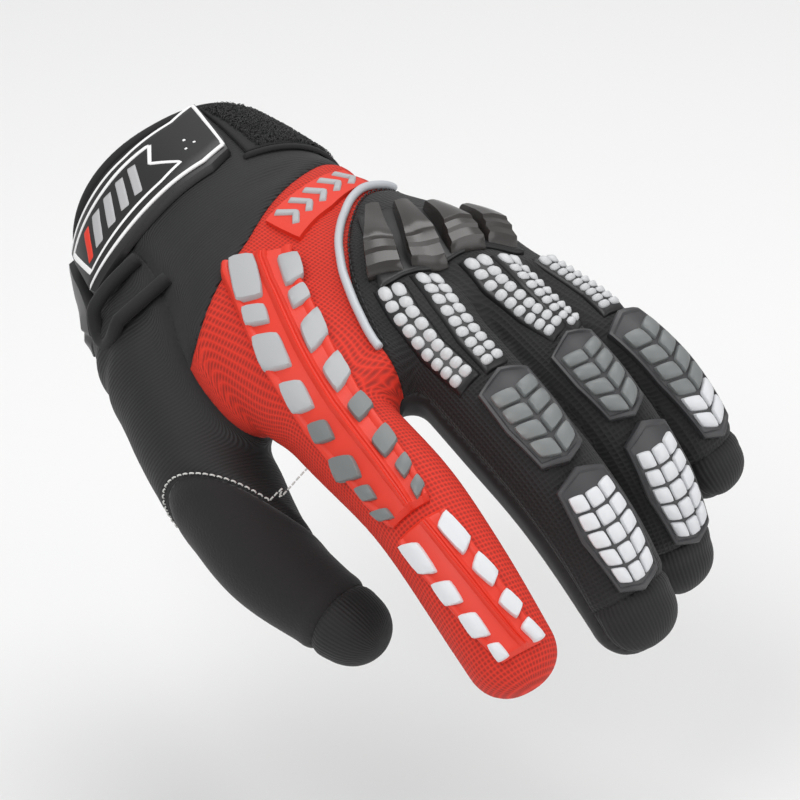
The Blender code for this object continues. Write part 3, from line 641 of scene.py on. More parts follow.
def folds(data):
    """Broad soft folds: sums of sines of the place, stronger where the glove bends."""
    x, y, z = (data[:, COLUMN[c]] for c in "xyz")
    s, side = data[:, COLUMN["s_thumb"]], data[:, COLUMN["side_thumb"]]
    cuff = np.exp(-(((x - 44) / 11) ** 2)) * rising((y + 60) / 30)
    wave = np.sin(x / 1.9 + 0.9 * np.sin(y / 11 + 1)) + 0.5 * np.sin(x / 1.2 - y / 9)
    total = 0.32 * cuff * wave
    crotch = np.exp(-(((s - 55) / 20) ** 2)) * rising(-side / 10) * (data[:, COLUMN["thumb"]] > -9)
    total += 0.45 * crotch * np.sin(s / 2.3 + side / 7)
    slow = np.sin(x / 13 + 1.3) * np.sin(y / 11 + 0.4) * np.sin(z / 9 + 2)
    return total + 0.35 * slow


def seam_depth(data):
    """How deep the nearest seam pulls the cloth: -0.55 exp(-(d / 0.8)^2) plus a low puff beside."""
    get = lambda name: data[:, COLUMN[name]]
    far = 99.0
    hand, beyond = get("thumb") < 0.3, get("wrist") > -0.3
    distances = (
        np.where(hand, np.abs(get("wrist")), far),
        np.where(beyond & (get("back") > -0.3) & hand, np.abs(get("piping")), far),
        np.abs(get("thumb")),
        np.where(beyond & hand, np.abs(get("back")), far),
        np.where(get("thumb") > -0.3, np.abs(get("thumb_seam")), far),
        np.where(get("thumb") > -0.3, np.abs(get("thumb_end")), far),
        np.where(get("back") > -0.3, np.abs(get("tip")), far),
    )
    d = np.minimum.reduce(distances)
    return -0.55 * np.exp(-((d / 0.8) ** 2)) + 0.22 * np.exp(-(((d - 2.6) / 1.5) ** 2))


def panel(name, part, cloth, nodes=()):
    data, faces = part
    normal = data[:, 3:6] / np.linalg.norm(data[:, 3:6], axis=1)[:, None]
    points = data[:, :3] + normal * (folds(data) + seam_depth(data))[:, None]
    return made(name, (points, faces), cloth, nodes, uv=data[:, 6:8], turn=False, wall=1.3)


# The cuff is ribbed stretch cloth from the mouth to the wrist seam.
not_thumb = (("mouth", 1), ("thumb", -1))
panel("cuff", region(*not_thumb, ("wrist", -1)), RIBBED, ["cuff"])

# The red mesh panel over the index finger, and the black mesh panel over the other fingers.
beyond = (*not_thumb, ("wrist", 1))
panel(
    "index_panel", region(*beyond, ("back", 1), ("piping", 1)), RED_MESH,
    ["index_panel", "index_finger_back"],
)
back = (*beyond, ("back", 1), ("piping", -1))
panel(
    "back_panel", region(*back, ("tip", -1)), BLACK_MESH,
    ["back_panel", "middle_finger_back", "ring_finger_back", "little_finger_back"],
)
panel("fingertips", region(*back, ("tip", 1)), RIBBED_TIP)

# The palm panel with the fingers' fronts and sides.
panel(
    "palm_panel", region(*beyond, ("back", -1)), PALM_CLOTH,
    ["palm_panel", "index_finger_front", "middle_finger_front", "ring_finger_front", "little_finger_front"],
)

# The thumb: stretch cloth to the slanted seam, suede beyond it, and a ribbed end.
panel("thumb", region(("mouth", 1), ("thumb", 1), ("thumb_seam", -1)), RIBBED, ["thumb"])
suede = (("thumb", 1), ("thumb_seam", 1))
panel("thumb_tip", region(*suede, ("thumb_end", -1)), SUEDE, ["thumb_tip"])
panel("thumb_end", region(*suede, ("thumb_end", 1)), RIBBED_TIP)

# White threads along the thumb's slanted seam, sewn through from the outside.
round_l = np.linspace(-5, 36, 120)
row = at_path("thumb", 89.8 - 1.2 * 15 * np.sin(round_l / 16))
s = 89.8 - 1.2 * row[:, 12] * np.sin(round_l / row[:, 14])
threads = stitches(surface("thumb", s, round_l, 0.0), outwards("thumb", s, round_l), 1.9, 1.2, 0.24)
made("thumb_stitches", threads, THREAD)

# The mouth's binding: a soft rolled edge sewn round the wrist opening.
turn = np.linspace(0, 2 * math.pi, 97)[:-1]
row = at_path("hand", np.full(96, 0.6))
ring = (
    row[:, :3]
    + row[:, 9:12] * ((row[:, 12] - 0.5) * np.sign(np.cos(turn)) * np.abs(np.cos(turn)) ** (2 / 2.3))[:, None]
    + row[:, 6:9] * ((row[:, 13] - 0.5) * np.sign(np.sin(turn)) * np.abs(np.sin(turn)) ** (2 / 2.3))[:, None]
)
tangent = np.roll(ring, -1, 0) - np.roll(ring, 1, 0)
tangent /= np.linalg.norm(tangent, axis=1)[:, None]
out = np.cross(tangent, (1.0, 0, 0))
out /= np.linalg.norm(out, axis=1)[:, None]
angle = np.arange(10) / 10 * 2 * math.pi
points = (
    ring[:, None]
    + out[:, None] * (1.0 * np.cos(angle))[:, None]
    + np.array((1.7, 0, 0)) * np.sin(angle)[:, None]
)
i, j = np.meshgrid(np.arange(96), np.arange(10), indexing="ij")
here, there, beside = i * 10, (i + 1) % 96 * 10, (j + 1) % 10
faces = np.stack([here + j, here + beside, there + beside, there + j], -1)
made("mouth_binding", (points.reshape(-1, 3), faces.reshape(-1, 4)), LINING)

# The wrist strap: a moulded black rubber tab with white printed lines and plain slanted bars. Its base
# is sewn on at the thumb's side, and hook and loop close it on a landing patch.


def sharpened(thing, degrees=35):
    """Edges sharper than this shade hard, as on moulded rubber."""
    work = bmesh.new()
    work.from_mesh(thing.data)
    for edge in work.edges:
        edge.smooth = edge.calc_face_angle(0) < math.radians(degrees)
    work.to_mesh(thing.data)
    work.free()
    return thing


def slab(name, s, l, height, base=-0.5):
    """A closed piece over a grid of (s, l): its top at these heights, its bottom at the base."""
    s, l, height = np.broadcast_arrays(s, l, height)
    rows, columns = s.shape
    top, low = surface(name, s, l, height), surface(name, s, l, base)
    count = rows * columns
    rim = np.r_[
        np.arange(columns), np.arange(2 * columns - 1, count, columns),
        np.arange(count - 2, count - columns - 1, -1), np.arange(count - 2 * columns, 0, -columns),
    ]
    after = np.roll(rim, -1)
    faces = np.concatenate(
        [quads(rows, columns), quads(rows, columns)[:, ::-1] + count,
         np.stack([rim, after, after + count, rim + count], -1)]
    )
    return np.concatenate([top.reshape(-1, 3), low.reshape(-1, 3)]), faces


def spaced(count, edge=0.06):
    """Shares from 0 to 1 with two close ones at each end, for a bevel."""
    return np.r_[0, edge / 2, np.linspace(edge, 1 - edge, count - 4), 1 - edge / 2, 1]


def ridge(name, line, width, height, lift=-0.3, count=40, flat=1.0, ends=True):
    """A ridge along a line of (s, l) points: its section is an arch, flattened by its power."""
    line = np.array(line, float)
    along = np.r_[0, np.cumsum(np.linalg.norm(np.diff(line, axis=0), axis=1))]
    even = np.linspace(0, along[-1], count)
    path = np.stack([np.interp(even, along, column) for column in line.T], -1)
    way = np.gradient(path, axis=0)
    way /= np.maximum(np.linalg.norm(way, axis=1), 1e-9)[:, None]
    over = np.linspace(-1, 1, 9)
    wide = np.broadcast_to(width, (count,)) if np.ndim(width) else np.full(count, width)
    s = path[:, :1] - way[:, 1:] * over * wide[:, None] / 2
    l = path[:, 1:] + way[:, :1] * over * wide[:, None] / 2
    arch = (1 - np.abs(over) ** (2 * flat)) ** 0.5
    taper = np.ones(count)
    if ends:
        taper = np.sqrt(1 - (1 - np.clip(np.minimum(even, along[-1] - even) / (width / 2), 0, 1)) ** 2)
    return slab(name, s, l, lift + height * arch * taper[:, None], lift - 0.4)


def cord(centre, radius, around=10):
    """A round cord through these points, with flat ends; radius may differ along it."""
    tangent = np.gradient(centre, axis=0)
    tangent /= np.linalg.norm(tangent, axis=1)[:, None]
    first = np.cross(tangent, (0.2, 0.3, 0.9))
    first /= np.linalg.norm(first, axis=1)[:, None]
    second = np.cross(tangent, first)
    turn = np.arange(around) / around * 2 * math.pi
    radius = np.broadcast_to(radius, (len(centre),))[:, None, None]
    ring = first[:, None] * np.cos(turn)[:, None] + second[:, None] * np.sin(turn)[:, None]
    points = (centre[:, None] + radius * ring).reshape(-1, 3)
    ends = np.stack([centre[0], centre[-1]])
    count, last = len(points), (len(centre) - 1) * around
    j = np.arange(around)
    caps = [np.stack([np.full(around, count), (j + 1) % around, j, j], -1)[:, :3],
            np.stack([np.full(around, count + 1), last + j, last + (j + 1) % around], -1)]
    return np.concatenate([points, ends]), [quads(len(centre), around, closed=True), *caps]


RED_RUBBER = material("red rubber", (0.70, 0.032, 0.012), 0.5, grain=0.03)
BLACK_RUBBER = material("black rubber", (0.011, 0.011, 0.012), 0.4, grain=0.02)
PRINT = material("white print", (0.85, 0.85, 0.85), 0.55)
GREY_PRINT = material("grey print", (0.42, 0.42, 0.43), 0.55)
LOOP_PILE = material("loop pile", (0.012, 0.012, 0.013), 0.6, sheen=0.1)


def between(near, far, shares, count):
    """A grid of (s, l) from one edge line to another: columns across, rows along the edges."""
    near, far = np.array(near, float), np.array(far, float)
    steps = np.linspace(0, 1, count)
    even = [
        np.stack([np.interp(steps * (len(line) - 1), range(len(line)), column) for column in line.T], -1)
        for line in (near, far)
    ]
    x = np.asarray(shares)[None, :, None]
    return even[0][:, None] * (1 - x) + even[1][:, None] * x


STRAP_NEAR = ((1, -12), (5, -2), (6, 14), (5, 28), (4, 39))
STRAP_FAR = ((28, -6), (31, 2), (32, 18), (33, 30), (34, 38.5))
EDGE = np.array((0, 0.015, 0.04, 0.08, 0.16, 0.3, 0.45, 0.6, 0.75, 0.84, 0.88, 0.93, 0.97, 1))
grid = between(STRAP_NEAR, STRAP_FAR, EDGE, 60)
profile = np.interp(EDGE, (0, 0.03, 0.08, 0.86, 0.9, 0.97, 1), (0.6, 2.5, 3.1, 3.4, 2.6, 2.3, 0.6))
ends = rising(np.minimum(np.linspace(0, 20, 60), 20 - np.linspace(0, 20, 60)) / 0.6)
shape = slab("wrist", grid[..., 0], grid[..., 1], profile * (0.3 + 0.7 * ends[:, None]), 0.4)
sharpened(made("strap", shape, BLACK_RUBBER, ["strap"]))
STRAP_TOP = 3.15
border = [(26.3, -4.5), (28.6, 3), (29, 18), (29.3, 30), (29.5, 37.5)]
lines = [ridge("wrist", border, 1.0, 0.35, STRAP_TOP, 60)]
border = [(3.6, -9.5), (7.2, -1), (8.2, 14), (7.2, 28), (6.3, 37.5)]
lines.append(ridge("wrist", border, 1.0, 0.35, STRAP_TOP - 0.2, 60))
lines.append(ridge("wrist", [(3.6, -9.5), (14, -7), (26.3, -4.5)], 1.0, 0.35, STRAP_TOP, 30))
frame_line = [(11, 8), (17.5, 12), (24.5, 7), (26, 14), (26.3, 35.5), (10.2, 36.5), (10.8, 14), (11, 8)]
lines.append(ridge("wrist", frame_line, 1.1, 0.4, STRAP_TOP, 110))
for s, l in ((17, 1.5), (19.8, 0.2), (20.6, 3.2)):
    lines.append(ridge("wrist", [(s, l), (s + 0.9, l)], 0.9, 0.3, STRAP_TOP, 6))
made("strap_lines", joined(lines), PRINT)

# Slanted bars fill the frame.
bars = [ridge("wrist", [(13, l), (23.6, l + 4.2)], 2.3, 0.45, STRAP_TOP, 14, 3) for l in (15, 19, 23, 27)]
made("strap_bars", joined(bars), GREY_PRINT)
shape = ridge("wrist", [(13, 30.6), (23.6, 34.2)], 1.6, 0.45, STRAP_TOP, 14, 3)
made("strap_red_bar", shape, RED_RUBBER)
BASE_NEAR = ((3, 40.5), (2, 45), (2, 52))
BASE_FAR = ((35, 39.5), (34, 44), (31, 49))
grid = between(BASE_NEAR, BASE_FAR, spaced(12), 24)
groove = 1 - np.exp(-(((np.linspace(0, 12, 24) - 7.5) / 0.8) ** 2))
edge = rising(np.minimum(spaced(12), 1 - spaced(12)) / 0.03) * 0.6 + 0.4
height = 0.8 + 2.6 * edge[None] * (0.55 + 0.45 * groove[:, None])
shape = slab("wrist", grid[..., 0], grid[..., 1], height, 0.4)
sharpened(made("strap_base", shape, BLACK_RUBBER, ["strap_base"]))

# The landing patch of loop pile, with a welt line round it.
rng = np.random.default_rng(5)
count = 3600
s, l = rng.uniform(3, 29.5, count), rng.uniform(-35.5, -13, count)
turned = rng.uniform(0, math.pi, count)
arch = np.linspace(0, math.pi, 6)
size = rng.uniform(0.35, 0.75, count)[:, None]
across_s = s[:, None] + size * np.cos(arch) * np.cos(turned)[:, None]
across_l = l[:, None] + size * np.cos(arch) * np.sin(turned)[:, None]
rise = 1.0 + rng.uniform(0.5, 1.15, count)[:, None] * np.sin(arch)
threads = surface("wrist", across_s, across_l, rise)
up = outwards("wrist", across_s, across_l)
way = np.gradient(threads, axis=1)
side = np.cross(way, up)
side /= np.linalg.norm(side, axis=2)[..., None]
ring = np.stack([side * 0.09, up * 0.09, -side * 0.09], 2)
points = (threads[:, :, None] + ring).reshape(-1, 3)
faces = (quads(6, 3, closed=True)[None] + (np.arange(count) * 18)[:, None, None]).reshape(-1, 4)
made("landing_loops", (points, faces), LOOP_PILE, turn=False)
grid = between(((2.5, -36), (2.5, -24), (2.5, -12.5)), ((29, -36), (30, -24), (30, -9.5)), spaced(14), 30)
shape = slab("wrist", grid[..., 0], grid[..., 1], 1.1, 0.3)
made("landing_patch", shape, LINING, ["landing_patch"])
welt = [(1.5, -11.5), (1.5, -24), (1.5, -37), (16, -37.4), (31, -37), (31.2, -24), (31, -8)]
made("landing_welt", ridge("wrist", welt, 1.5, 0.8, 0.5, 110), LINING)

# The loop to pull the glove on by: a folded webbing, sewn on beside the strap's base.
along = np.array((38.4, 38.6, 39.9, 42.8, 46.9, 49.8, 51.1, 51.3))
aside = np.array((30, 35.5, 39.5, 42, 42, 39.5, 35.5, 30))
lift = np.array((1.6, 3.2, 4.2, 4.8, 4.8, 4.2, 3.2, 1.6))
fine = np.linspace(0, 7, 42)
s, l, h = (np.interp(fine, range(8), column) for column in (along, aside, lift))
for _ in range(3):
    s[1:-1], l[1:-1], h[1:-1] = ((a[:-2] + a[1:-1] + a[2:]) / 3 for a in (s, l, h))
made("pull_loop", cord(surface("wrist", s, l, h), 1.9, 12), LINING, ["pull_loop"])

# The piping: a reflective cord sewn into the seam between the red and the black panels, which runs
# from the wrist to the web between the first two fingers.
DARK_THREAD = material("dark thread", (0.03, 0.03, 0.032), 0.8)
PIPING = material("reflective piping", (0.50, 0.52, 0.55), 0.35, grain=0.02)
line = np.array(
    ((57, -38), (58.8, -33), (62.6, -24), (67.5, -17), (73.5, -10), (82, -1), (90.5, 6.2), (99, 11.5),
     (106, 15.2), (112, 17.6)), float,
)
fine = np.linspace(0, len(line) - 1, 120)
s, l = (np.interp(fine, range(len(line)), column) for column in line.T)
for _ in range(8):
    s[1:-1], l[1:-1] = ((a[:-2] + a[1:-1] + a[2:]) / 3 for a in (s, l))
centre = surface("hand", s, l, 1.0)
made("piping", cord(centre, 1.15, 12), PIPING, ["piping"])
points, faces = stitches(
    surface("hand", s + 1.6, l - 1.6, 0.1), outwards("hand", s, l), 2.4, 1.5, 0.22
)
made("piping_stitches", (points, faces), DARK_THREAD)

# The wrist plaque: a raised red rubber base with plain silver chevrons, moulded in one and bonded to
# the red mesh beside the wrist seam.
SILVER = (0.40, 0.41, 0.42)
SILVER_TILE = material("silver tile", SILVER, 0.5, grain=0.02)
grid = between(((59, 4), (53, -11), (47.9, -27)), ((72, 3), (66.3, -12), (59.5, -28)), spaced(12), 30)
shape = slab("hand", grid[..., 0], grid[..., 1], 1.3, -0.4)
sharpened(made("wrist_plaque", shape, RED_RUBBER, ["wrist_plaque"]))
marks = []
for step in range(5):
    s, l = 62.6 - 2.0 * step, 0.5 - 5.6 * step
    chevron = [(s - 3.9, l + 0.4), (s + 0.6, l - 3.4), (s + 4.4, l - 0.6)]
    marks.append(ridge("hand", chevron, 2.0, 0.9, 1.2, 24, 3))
made("plaque_marks", joined(marks), SILVER_TILE)

# The plates on the index finger: red rubber with a grooved spine between two rows of
# tiles, which step in size from the hand to the fingertip and change from silver to grey to white.


def tile(name, corners, lift, height, bevel=0.7, count=9, round_corners=0.9, dome=0.0):
    """A bevelled tile on four (s, l) corners: height is a smooth step of the distance from the
    nearest edge over the bevel; dome raises its middle."""
    (a, b, c, d) = np.array(corners, float)
    u, v = (part[..., None] for part in np.meshgrid(spaced(count), spaced(count), indexing="ij"))
    flat = (a * (1 - v) + b * v) * (1 - u) + (d * (1 - v) + c * v) * u
    middle = (a + b + c + d) / 4
    # the corners drawn in: a superellipse over the square
    x, y = 2 * u - 1, 2 * v - 1
    norm = (np.abs(x) ** 6 + np.abs(y) ** 6) ** (1 / 6)
    box = np.maximum(np.abs(x), np.abs(y))
    shrink = np.where(norm > 1e-6, box / np.maximum(norm, 1e-6), 1)
    flat = middle + (flat - middle) * (1 - round_corners * (1 - shrink))
    long = (np.linalg.norm(d - a) + np.linalg.norm(c - b)) / 2
    wide = (np.linalg.norm(b - a) + np.linalg.norm(c - d)) / 2
    inset = np.minimum(np.minimum(u, 1 - u) * long, np.minimum(v, 1 - v) * wide)[..., 0]
    step = np.sqrt(1 - (1 - np.clip(inset / bevel, 0, 1)) ** 2)
    top = lift + height * step + dome * (1 - x[..., 0] ** 2) * (1 - y[..., 0] ** 2)
    return slab(name, flat[..., 0], flat[..., 1], top, lift - 0.5)


GREY_TILE = material("grey tile", (0.17, 0.18, 0.18), 0.45, grain=0.02)
WHITE_TILE = material("white tile", (0.66, 0.67, 0.69), 0.45, grain=0.02)
UPPER = ((18, 3, -11.2), (22, 5, -10.2), (35, 7, -8.5), (53, 9.6, -6.6), (65, 11.6, -5), (77, 13.8, -3.9),
         (90, 14.2, -2.4), (102, 14.3, -1.2), (111, 12.3, 0.6))
LOWER = ((114, 12.8, -1), (126, 12, -2.1), (138, 10, -3), (148, 7.8, -3.8), (152.5, 6.6, -4.6))
SHARES = (0, 0.02, 0.05, 0.085, 0.12, 0.15, 0.3, 0.5, 0.535, 0.555, 0.575, 0.595, 0.615, 0.635, 0.67, 0.8,
          0.85, 0.88, 0.915, 0.95, 0.98, 1)
HEIGHTS = (0.2, 1.9, 2.5, 2.5, 2.2, 1.7, 1.8, 1.8, 2.7, 3.0, 2.5, 2.5, 3.0, 2.7, 1.8, 1.8, 1.7, 2.2, 2.5,
           2.5, 1.9, 0.2)
for name, rows, slant in (("index_plate_upper", UPPER, 8.0), ("index_plate_lower", LOWER, 0.0)):
    rows = np.array(rows)
    fine = np.linspace(rows[0, 0], rows[-1, 0], 80)
    left, right = (np.interp(fine, rows[:, 0], column) for column in rows[:, 1:].T)
    x = np.array(SHARES)[None]
    near = np.clip(1 - (fine - fine[0]) / 16, 0, 1)[:, None]
    s = fine[:, None] + slant * x * near
    l = left[:, None] * (1 - x) + right[:, None] * x
    end = np.minimum(fine - fine[0], fine[-1] - fine)[:, None]
    height = np.array(HEIGHTS)[None] * (0.25 + 0.75 * rising(end / 1.2)) + 0.5 * (1 - (2 * x - 1) ** 2)
    sharpened(made(name, slab("index", s, l, height, -0.4), RED_RUBBER, [name]), 30)
TILES = {
    "silver": (
        ((19.5, 1.9), (23.3, -3.6), (39.1, 0.8), (35.1, 6.5)),
        ((37.5, 6.2), (41.3, 1.4), (48, 2.8), (44, 7.7)),
        ((47.7, 8), (51.9, 2.5), (62.3, 4.6), (57.9, 10.5)),
        ((62.5, 9.6), (66.3, 5), (74.8, 7), (70.8, 12.1)),
        ((27.7, -6.5), (30, -10.4), (38.1, -8.5), (39, -3.9)),
        ((41.1, -3.4), (39.9, -7.5), (46, -7), (47.4, -2.4)),
        ((53.1, -1.4), (49.5, -6.9), (59.4, -5.6), (62.3, 0.4)),
        ((67, 0.6), (64.3, -5), (72.8, -4), (75.6, 1.6)),
    ),
    "grey": (
        ((75.6, 11.1), (79.2, 6.9), (85.5, 8.4), (81.2, 13)),
        ((86.5, 12.9), (91.7, 8), (98.1, 9.6), (92.5, 15.8)),
        ((97.4, 13.1), (100, 9.5), (104.2, 10), (101.8, 13.3)),
        ((104.3, 13.9), (107, 9.5), (110.3, 9.4), (108.2, 13)),
        ((79.9, 2), (77.5, -3.4), (84.2, -3.2), (86.5, 2.5)),
        ((92.4, 3.4), (89.8, -2.3), (96.3, -1.6), (98.5, 3.6)),
        ((100.7, 3), (99.1, -1), (102.8, -0.5), (104.8, 3.1)),
        ((106.4, 3), (104.8, 0), (108.1, 0), (110.2, 3.5)),
    ),
    "white": (
        ((115.3, 12.8), (118.2, 8), (127.2, 7.9), (124.6, 12)),
        ((127.7, 11), (129.8, 6.6), (135.9, 6.5), (134.3, 10.6)),
        ((137.2, 9.4), (138.9, 5.5), (145.8, 5.1), (144.1, 9)),
        ((146.8, 7.1), (147.9, 4.5), (152.2, 4), (152.2, 7)),
        ((117.8, 3.4), (114.9, -0.5), (124.3, -1.9), (127.2, 2)),
        ((130.2, 2), (127, -1.5), (133.7, -3), (136.3, 0.1)),
        ((139.7, 0.9), (137.2, -2.5), (142.7, -4), (145.4, -1)),
        ((147.5, -0.6), (145.5, -3.5), (152.2, -5), (152.2, -2)),
    ),
}
TILE_COLOURS = {"silver": SILVER_TILE, "grey": GREY_TILE, "white": WHITE_TILE}
for shade, corners in TILES.items():
    shape = joined([tile("index", four, 2.1, 1.5, 0.7) for four in corners])
    sharpened(made(f"index_tiles_{shade}", shape, TILE_COLOURS[shade]), 40)


# The knuckle guard: four stepped fins of glossy rubber, moulded on a low pad that is sewn over the
# knuckles.
GUARD_RUBBER = material("glossy guard rubber", (0.028, 0.024, 0.022), 0.26, grain=0.02, coat=0.4)
PAD_NEAR = ((75.8, -13), (89.7, -4), (102.7, 5.5))
PAD_FAR = ((89.7, -37), (99.6, -38.5), (109.7, -37.5))
grid = between(PAD_NEAR, PAD_FAR, spaced(14), 30)
shape = slab("hand", grid[..., 0], grid[..., 1], 1.3, -0.4)
made("knuckle_guard", shape, BLACK_RUBBER, ["knuckle_guard"])
FINS = ((76.7, -17, 100.6, 1), (80.7, -22.5, 105.1, -9.5), (85.7, -28, 107.1, -20.5), (90.7, -35, 107.6, -32))
# Columns: a share along a fin, and its height there.
STEPS = np.array(
    (
        (0, 1.2), (0.03, 3.6), (0.5, 5.6), (0.71, 6.2), (0.74, 5.4),
        (0.84, 5.2), (0.86, 4.2), (0.97, 3.6), (1, 1.0),
    )
)
fins = []
for s0, l0, s1, l1 in FINS:
    share = np.r_[0, 0.02, np.linspace(0.06, 0.7, 6), 0.72, 0.74, 0.84, 0.86, 0.97, 0.985, 1]
    start, end = np.array((s0, l0)), np.array((s1, l1))
    way = (end - start) / np.linalg.norm(end - start)
    aside = np.array((-way[1], way[0]))
    half = np.interp(share, (0, 0.5, 0.73, 1), (1.7, 3.0, 4.0, 4.6))
    high = np.interp(share, *STEPS.T)
    middle = start + (end - start) * share[:, None]
    x = np.array((-1, -0.96, -0.88, -0.5, -0.2, 0.2, 0.5, 0.88, 0.96, 1))
    shape = np.array((0.15, 0.6, 0.93, 0.97, 1.0, 1.0, 0.97, 0.93, 0.6, 0.15))
    flat = middle[:, None] + aside * (half[:, None] * x)[..., None]
    fins.append(slab("hand", flat[..., 0], flat[..., 1], 0.6 + high[:, None] * shape, 0.2))
sharpened(made("guard_fins", joined(fins), GUARD_RUBBER), 30)

# The bead strips: double rows of pale rubber beads moulded on black strips with a raised
# border and a pointed end.
BEADS = material("bead rubber", (0.56, 0.57, 0.58), 0.4, grain=0.02)
STRIPS = {
    "bead_strip_middle_inner": ("middle", ((56, 2.6), (63.5, 6), (74, 7.8), (87, 6.4))),
    "bead_strip_middle_outer": ("middle", ((58, -7.4), (67, -4.1), (76.5, -2.4), (87.5, -2.7))),
    "bead_strip_ring_inner": ("ring", ((59.5, -0.8), (67.5, 2), (77.2, 1.6), (87, -1))),
    "bead_strip_ring_outer": ("ring", ((62.5, -9), (72, -6.6), (81, -6.2), (88, -8))),
    "bead_strip_little": ("little", ((62, -5.5), (70.5, -5), (78.3, -4.5), (87, -2.5))),
}
beads = []
for name, (finger, line) in STRIPS.items():
    line = np.array(line, float)
    made(name, ridge(finger, line, 8.2, 1.1, 0.0, 50, 6), BLACK_RUBBER, [name])
    along = np.r_[0, np.cumsum(np.linalg.norm(np.diff(line, axis=0), axis=1))]
    marks = np.linspace(1.6, along[-1] - 1.6, 10)
    marks = np.r_[0.6, marks[1:]]
    for start, stop in zip(marks, marks[1:]):
        ends = (start + 0.15, stop - 0.2)
        a, b = (np.array([np.interp(at, along, column) for column in line.T]) for at in ends)
        way = (b - a) / np.linalg.norm(b - a)
        aside = np.array((-way[1], way[0]))
        for near, far in ((0.15, 3.2), (-3.2, -0.15)):
            corners = (a + aside * near, a + aside * far, b + aside * far, b + aside * near)
            beads.append(tile(finger, corners, 0.9, 0.9, 1.0, 8, 2.2, 0.5))
made("beads", joined(beads), BEADS)

# The plates on the other fingers: dark grey rubber with a raised border and rows of
# bevelled tiles with dark sides.
# Columns: the finger, (s, left, right) at three places, how far the two ends point, tiles along,
# tiles across and their colour.
PLATE_RUBBER = material("grey plate rubber", (0.045, 0.045, 0.048), 0.42, grain=0.02)
PLATES = {
    "middle_plate_upper": (
        "middle", ((91, 7, -9), (103, 7.7, -8.2), (114, 6.5, -6)), (-3, 2), 4, 2, GREY_TILE,
    ),
    "middle_plate_lower": (
        "middle", ((119.6, 7, -7), (132, 8.2, -7.5), (146, 6, -5)), (-2.4, 2.4), 5, 3, WHITE_TILE,
    ),
    "ring_plate_upper": (
        "ring", ((90.5, 6.5, -8), (100, 7, -7), (109, 6, -5.5)), (-3, 2), 4, 2, GREY_TILE,
    ),
    "ring_plate_lower": (
        "ring", ((114.5, 6.5, -7), (127, 7.5, -7.5), (140, 5.5, -5.5)), (-2.5, 2.5), 5, 3, WHITE_TILE,
    ),
    "little_plate": (
        "little", ((89.5, 5.5, -7.5), (104, 6.5, -7), (119.5, 5, -4.5)), (-2, 2.6), 6, 2, GREY_TILE,
    ),
}
for name, (finger, rows, (near, far), count, lanes, colour) in PLATES.items():
    rows = np.array(rows, float)

    def place(u, x):
        """(s, l) on the plate for a share along and a place across from -1 to 1."""
        at = rows[0, 0] + (rows[-1, 0] - rows[0, 0]) * u
        left, right = (np.interp(at, rows[:, 0], column) for column in rows[:, 1:].T)
        point = (near * (1 - u) + far * u) * (1 - np.abs(x))
        return at + point, (left + right) / 2 + x * (left - right) / 2

    u = np.r_[0, 0.008, 0.02, 0.045, 0.06, np.linspace(0.09, 0.91, 18), 0.94, 0.955, 0.98, 0.992, 1][:, None]
    x = np.array((-1, -0.98, -0.94, -0.86, -0.82, -0.6, -0.3, 0, 0.3, 0.6, 0.82, 0.86, 0.94, 0.98, 1))[None]
    inset = np.minimum(np.minimum(u, 1 - u) * 24, (1 - np.abs(x)) * 7.5)
    height = np.interp(inset, (0, 0.15, 0.5, 1.1, 1.5), (0.2, 1.8, 2.3, 2.3, 1.6))
    s, l = place(u, x)
    shape = slab(finger, s, l, height + 0.4 * (1 - x**2), -0.4)
    sharpened(made(name, shape, PLATE_RUBBER, [name]), 30)
    tiles, whites = [], []
    for i in range(count):
        for j in range(lanes):
            gap = 0.06
            u0, u1 = 0.07 + 0.83 * (i + gap) / count, 0.07 + 0.83 * (i + 1 - gap) / count
            x0, x1 = 0.8 - 1.6 * (j + 0.05) / lanes, 0.8 - 1.6 * (j + 0.95) / lanes
            corners = []
            for a, b in ((u0, x0), (u0, x1), (u1, x1), (u1, x0)):
                corner_s, corner_l = place(a, b)
                corners.append((corner_s + (1 - abs(b)) * ((1.6 - near) * (1 - a) + a), corner_l))
            shade = whites if name == "little_plate" and i > 3 else tiles
            shade.append(tile(finger, corners, 1.9, 1.4, 0.8))
    sharpened(made(f"{name}_tiles", joined(tiles), colour), 40)
    if whites:
        sharpened(made(f"{name}_white_tiles", joined(whites), WHITE_TILE), 40)


# The plain pale floor below the held glove, three soft studio lights, and the camera at the
# photograph's angle.


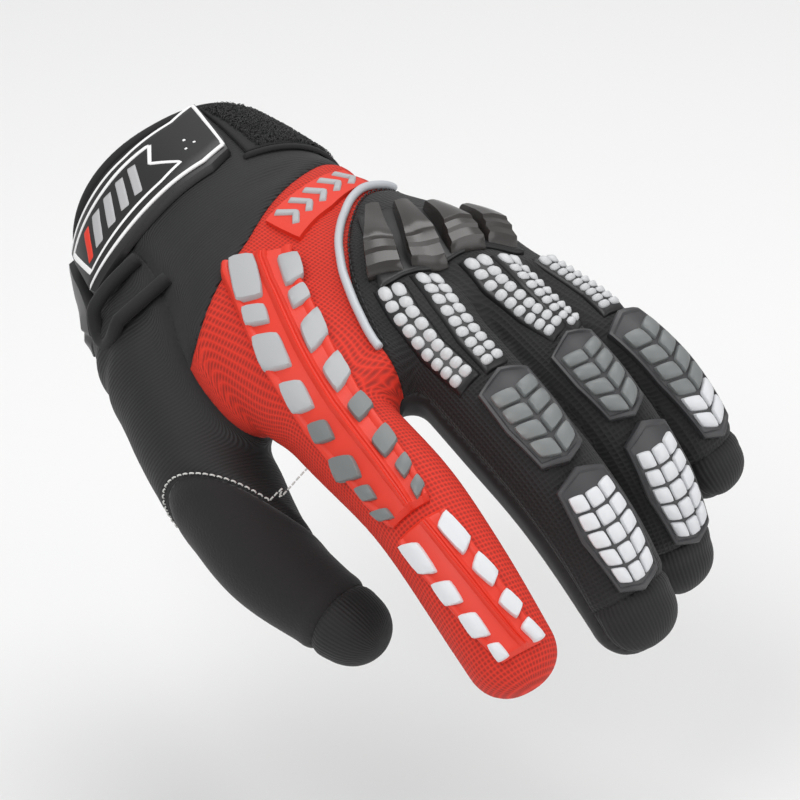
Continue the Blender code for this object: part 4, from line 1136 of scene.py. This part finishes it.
def soft_light(name, place, aim, size, power):
    light = bpy.data.lights.new(name, "AREA")
    light.shape, light.size, light.energy = "DISK", size, power
    lamp = bpy.data.objects.new(name, light)
    lamp.location = place
    way = np.array(aim) - np.array(place)
    flat = math.hypot(way[0], way[1])
    lamp.rotation_euler = (math.atan2(flat, -way[2]), 0, math.atan2(-way[0], way[1]))
    bpy.context.scene.collection.objects.link(lamp)


FLOOR_HALF = 6.0
FLOOR_HEIGHT = -0.14
corners = [(x * FLOOR_HALF, y * FLOOR_HALF, FLOOR_HEIGHT) for x, y in ((-1, -1), (1, -1), (1, 1), (-1, 1))]
mesh = bpy.data.meshes.new("floor")
mesh.from_pydata(corners, [], [(0, 1, 2, 3)])
PAPER = bpy.data.materials.new("white paper")
PAPER.use_nodes = True
PAPER.node_tree.nodes["Principled BSDF"].inputs["Base Color"].default_value = (0.86, 0.86, 0.86, 1)
PAPER.node_tree.nodes["Principled BSDF"].inputs["Roughness"].default_value = 0.9
mesh.materials.append(PAPER)
floor = bpy.data.objects.new("floor", mesh)
bpy.context.scene.collection.objects.link(floor)
centre = (0.11, -0.01, -0.01)
soft_light("key", (0.35, -0.9, 1.0), centre, 0.9, 8.5)
soft_light("top", (-0.1, 0.35, 1.1), centre, 1.0, 6.5)
soft_light("fill", (1.0, 0.35, 0.35), centre, 0.9, 3)
world = bpy.data.worlds.new("studio")
bpy.context.scene.world = world
world.use_nodes = True
world.node_tree.nodes["Background"].inputs[0].default_value = (1, 1, 1, 1)
world.node_tree.nodes["Background"].inputs[1].default_value = 0.5
lens = bpy.data.cameras.new("camera")
lens.lens, lens.sensor_width = 195.5, 36
lens.clip_end = 20
camera = bpy.data.objects.new("camera", lens)
camera.location = (0.8810, -0.6344, 0.4718)
camera.rotation_euler = (math.radians(64), 0, math.radians(51))
bpy.context.scene.collection.objects.link(camera)
scene = bpy.context.scene
scene.camera = camera
scene.render.resolution_x = scene.render.resolution_y = 1200
scene.view_settings.view_transform = "Standard"
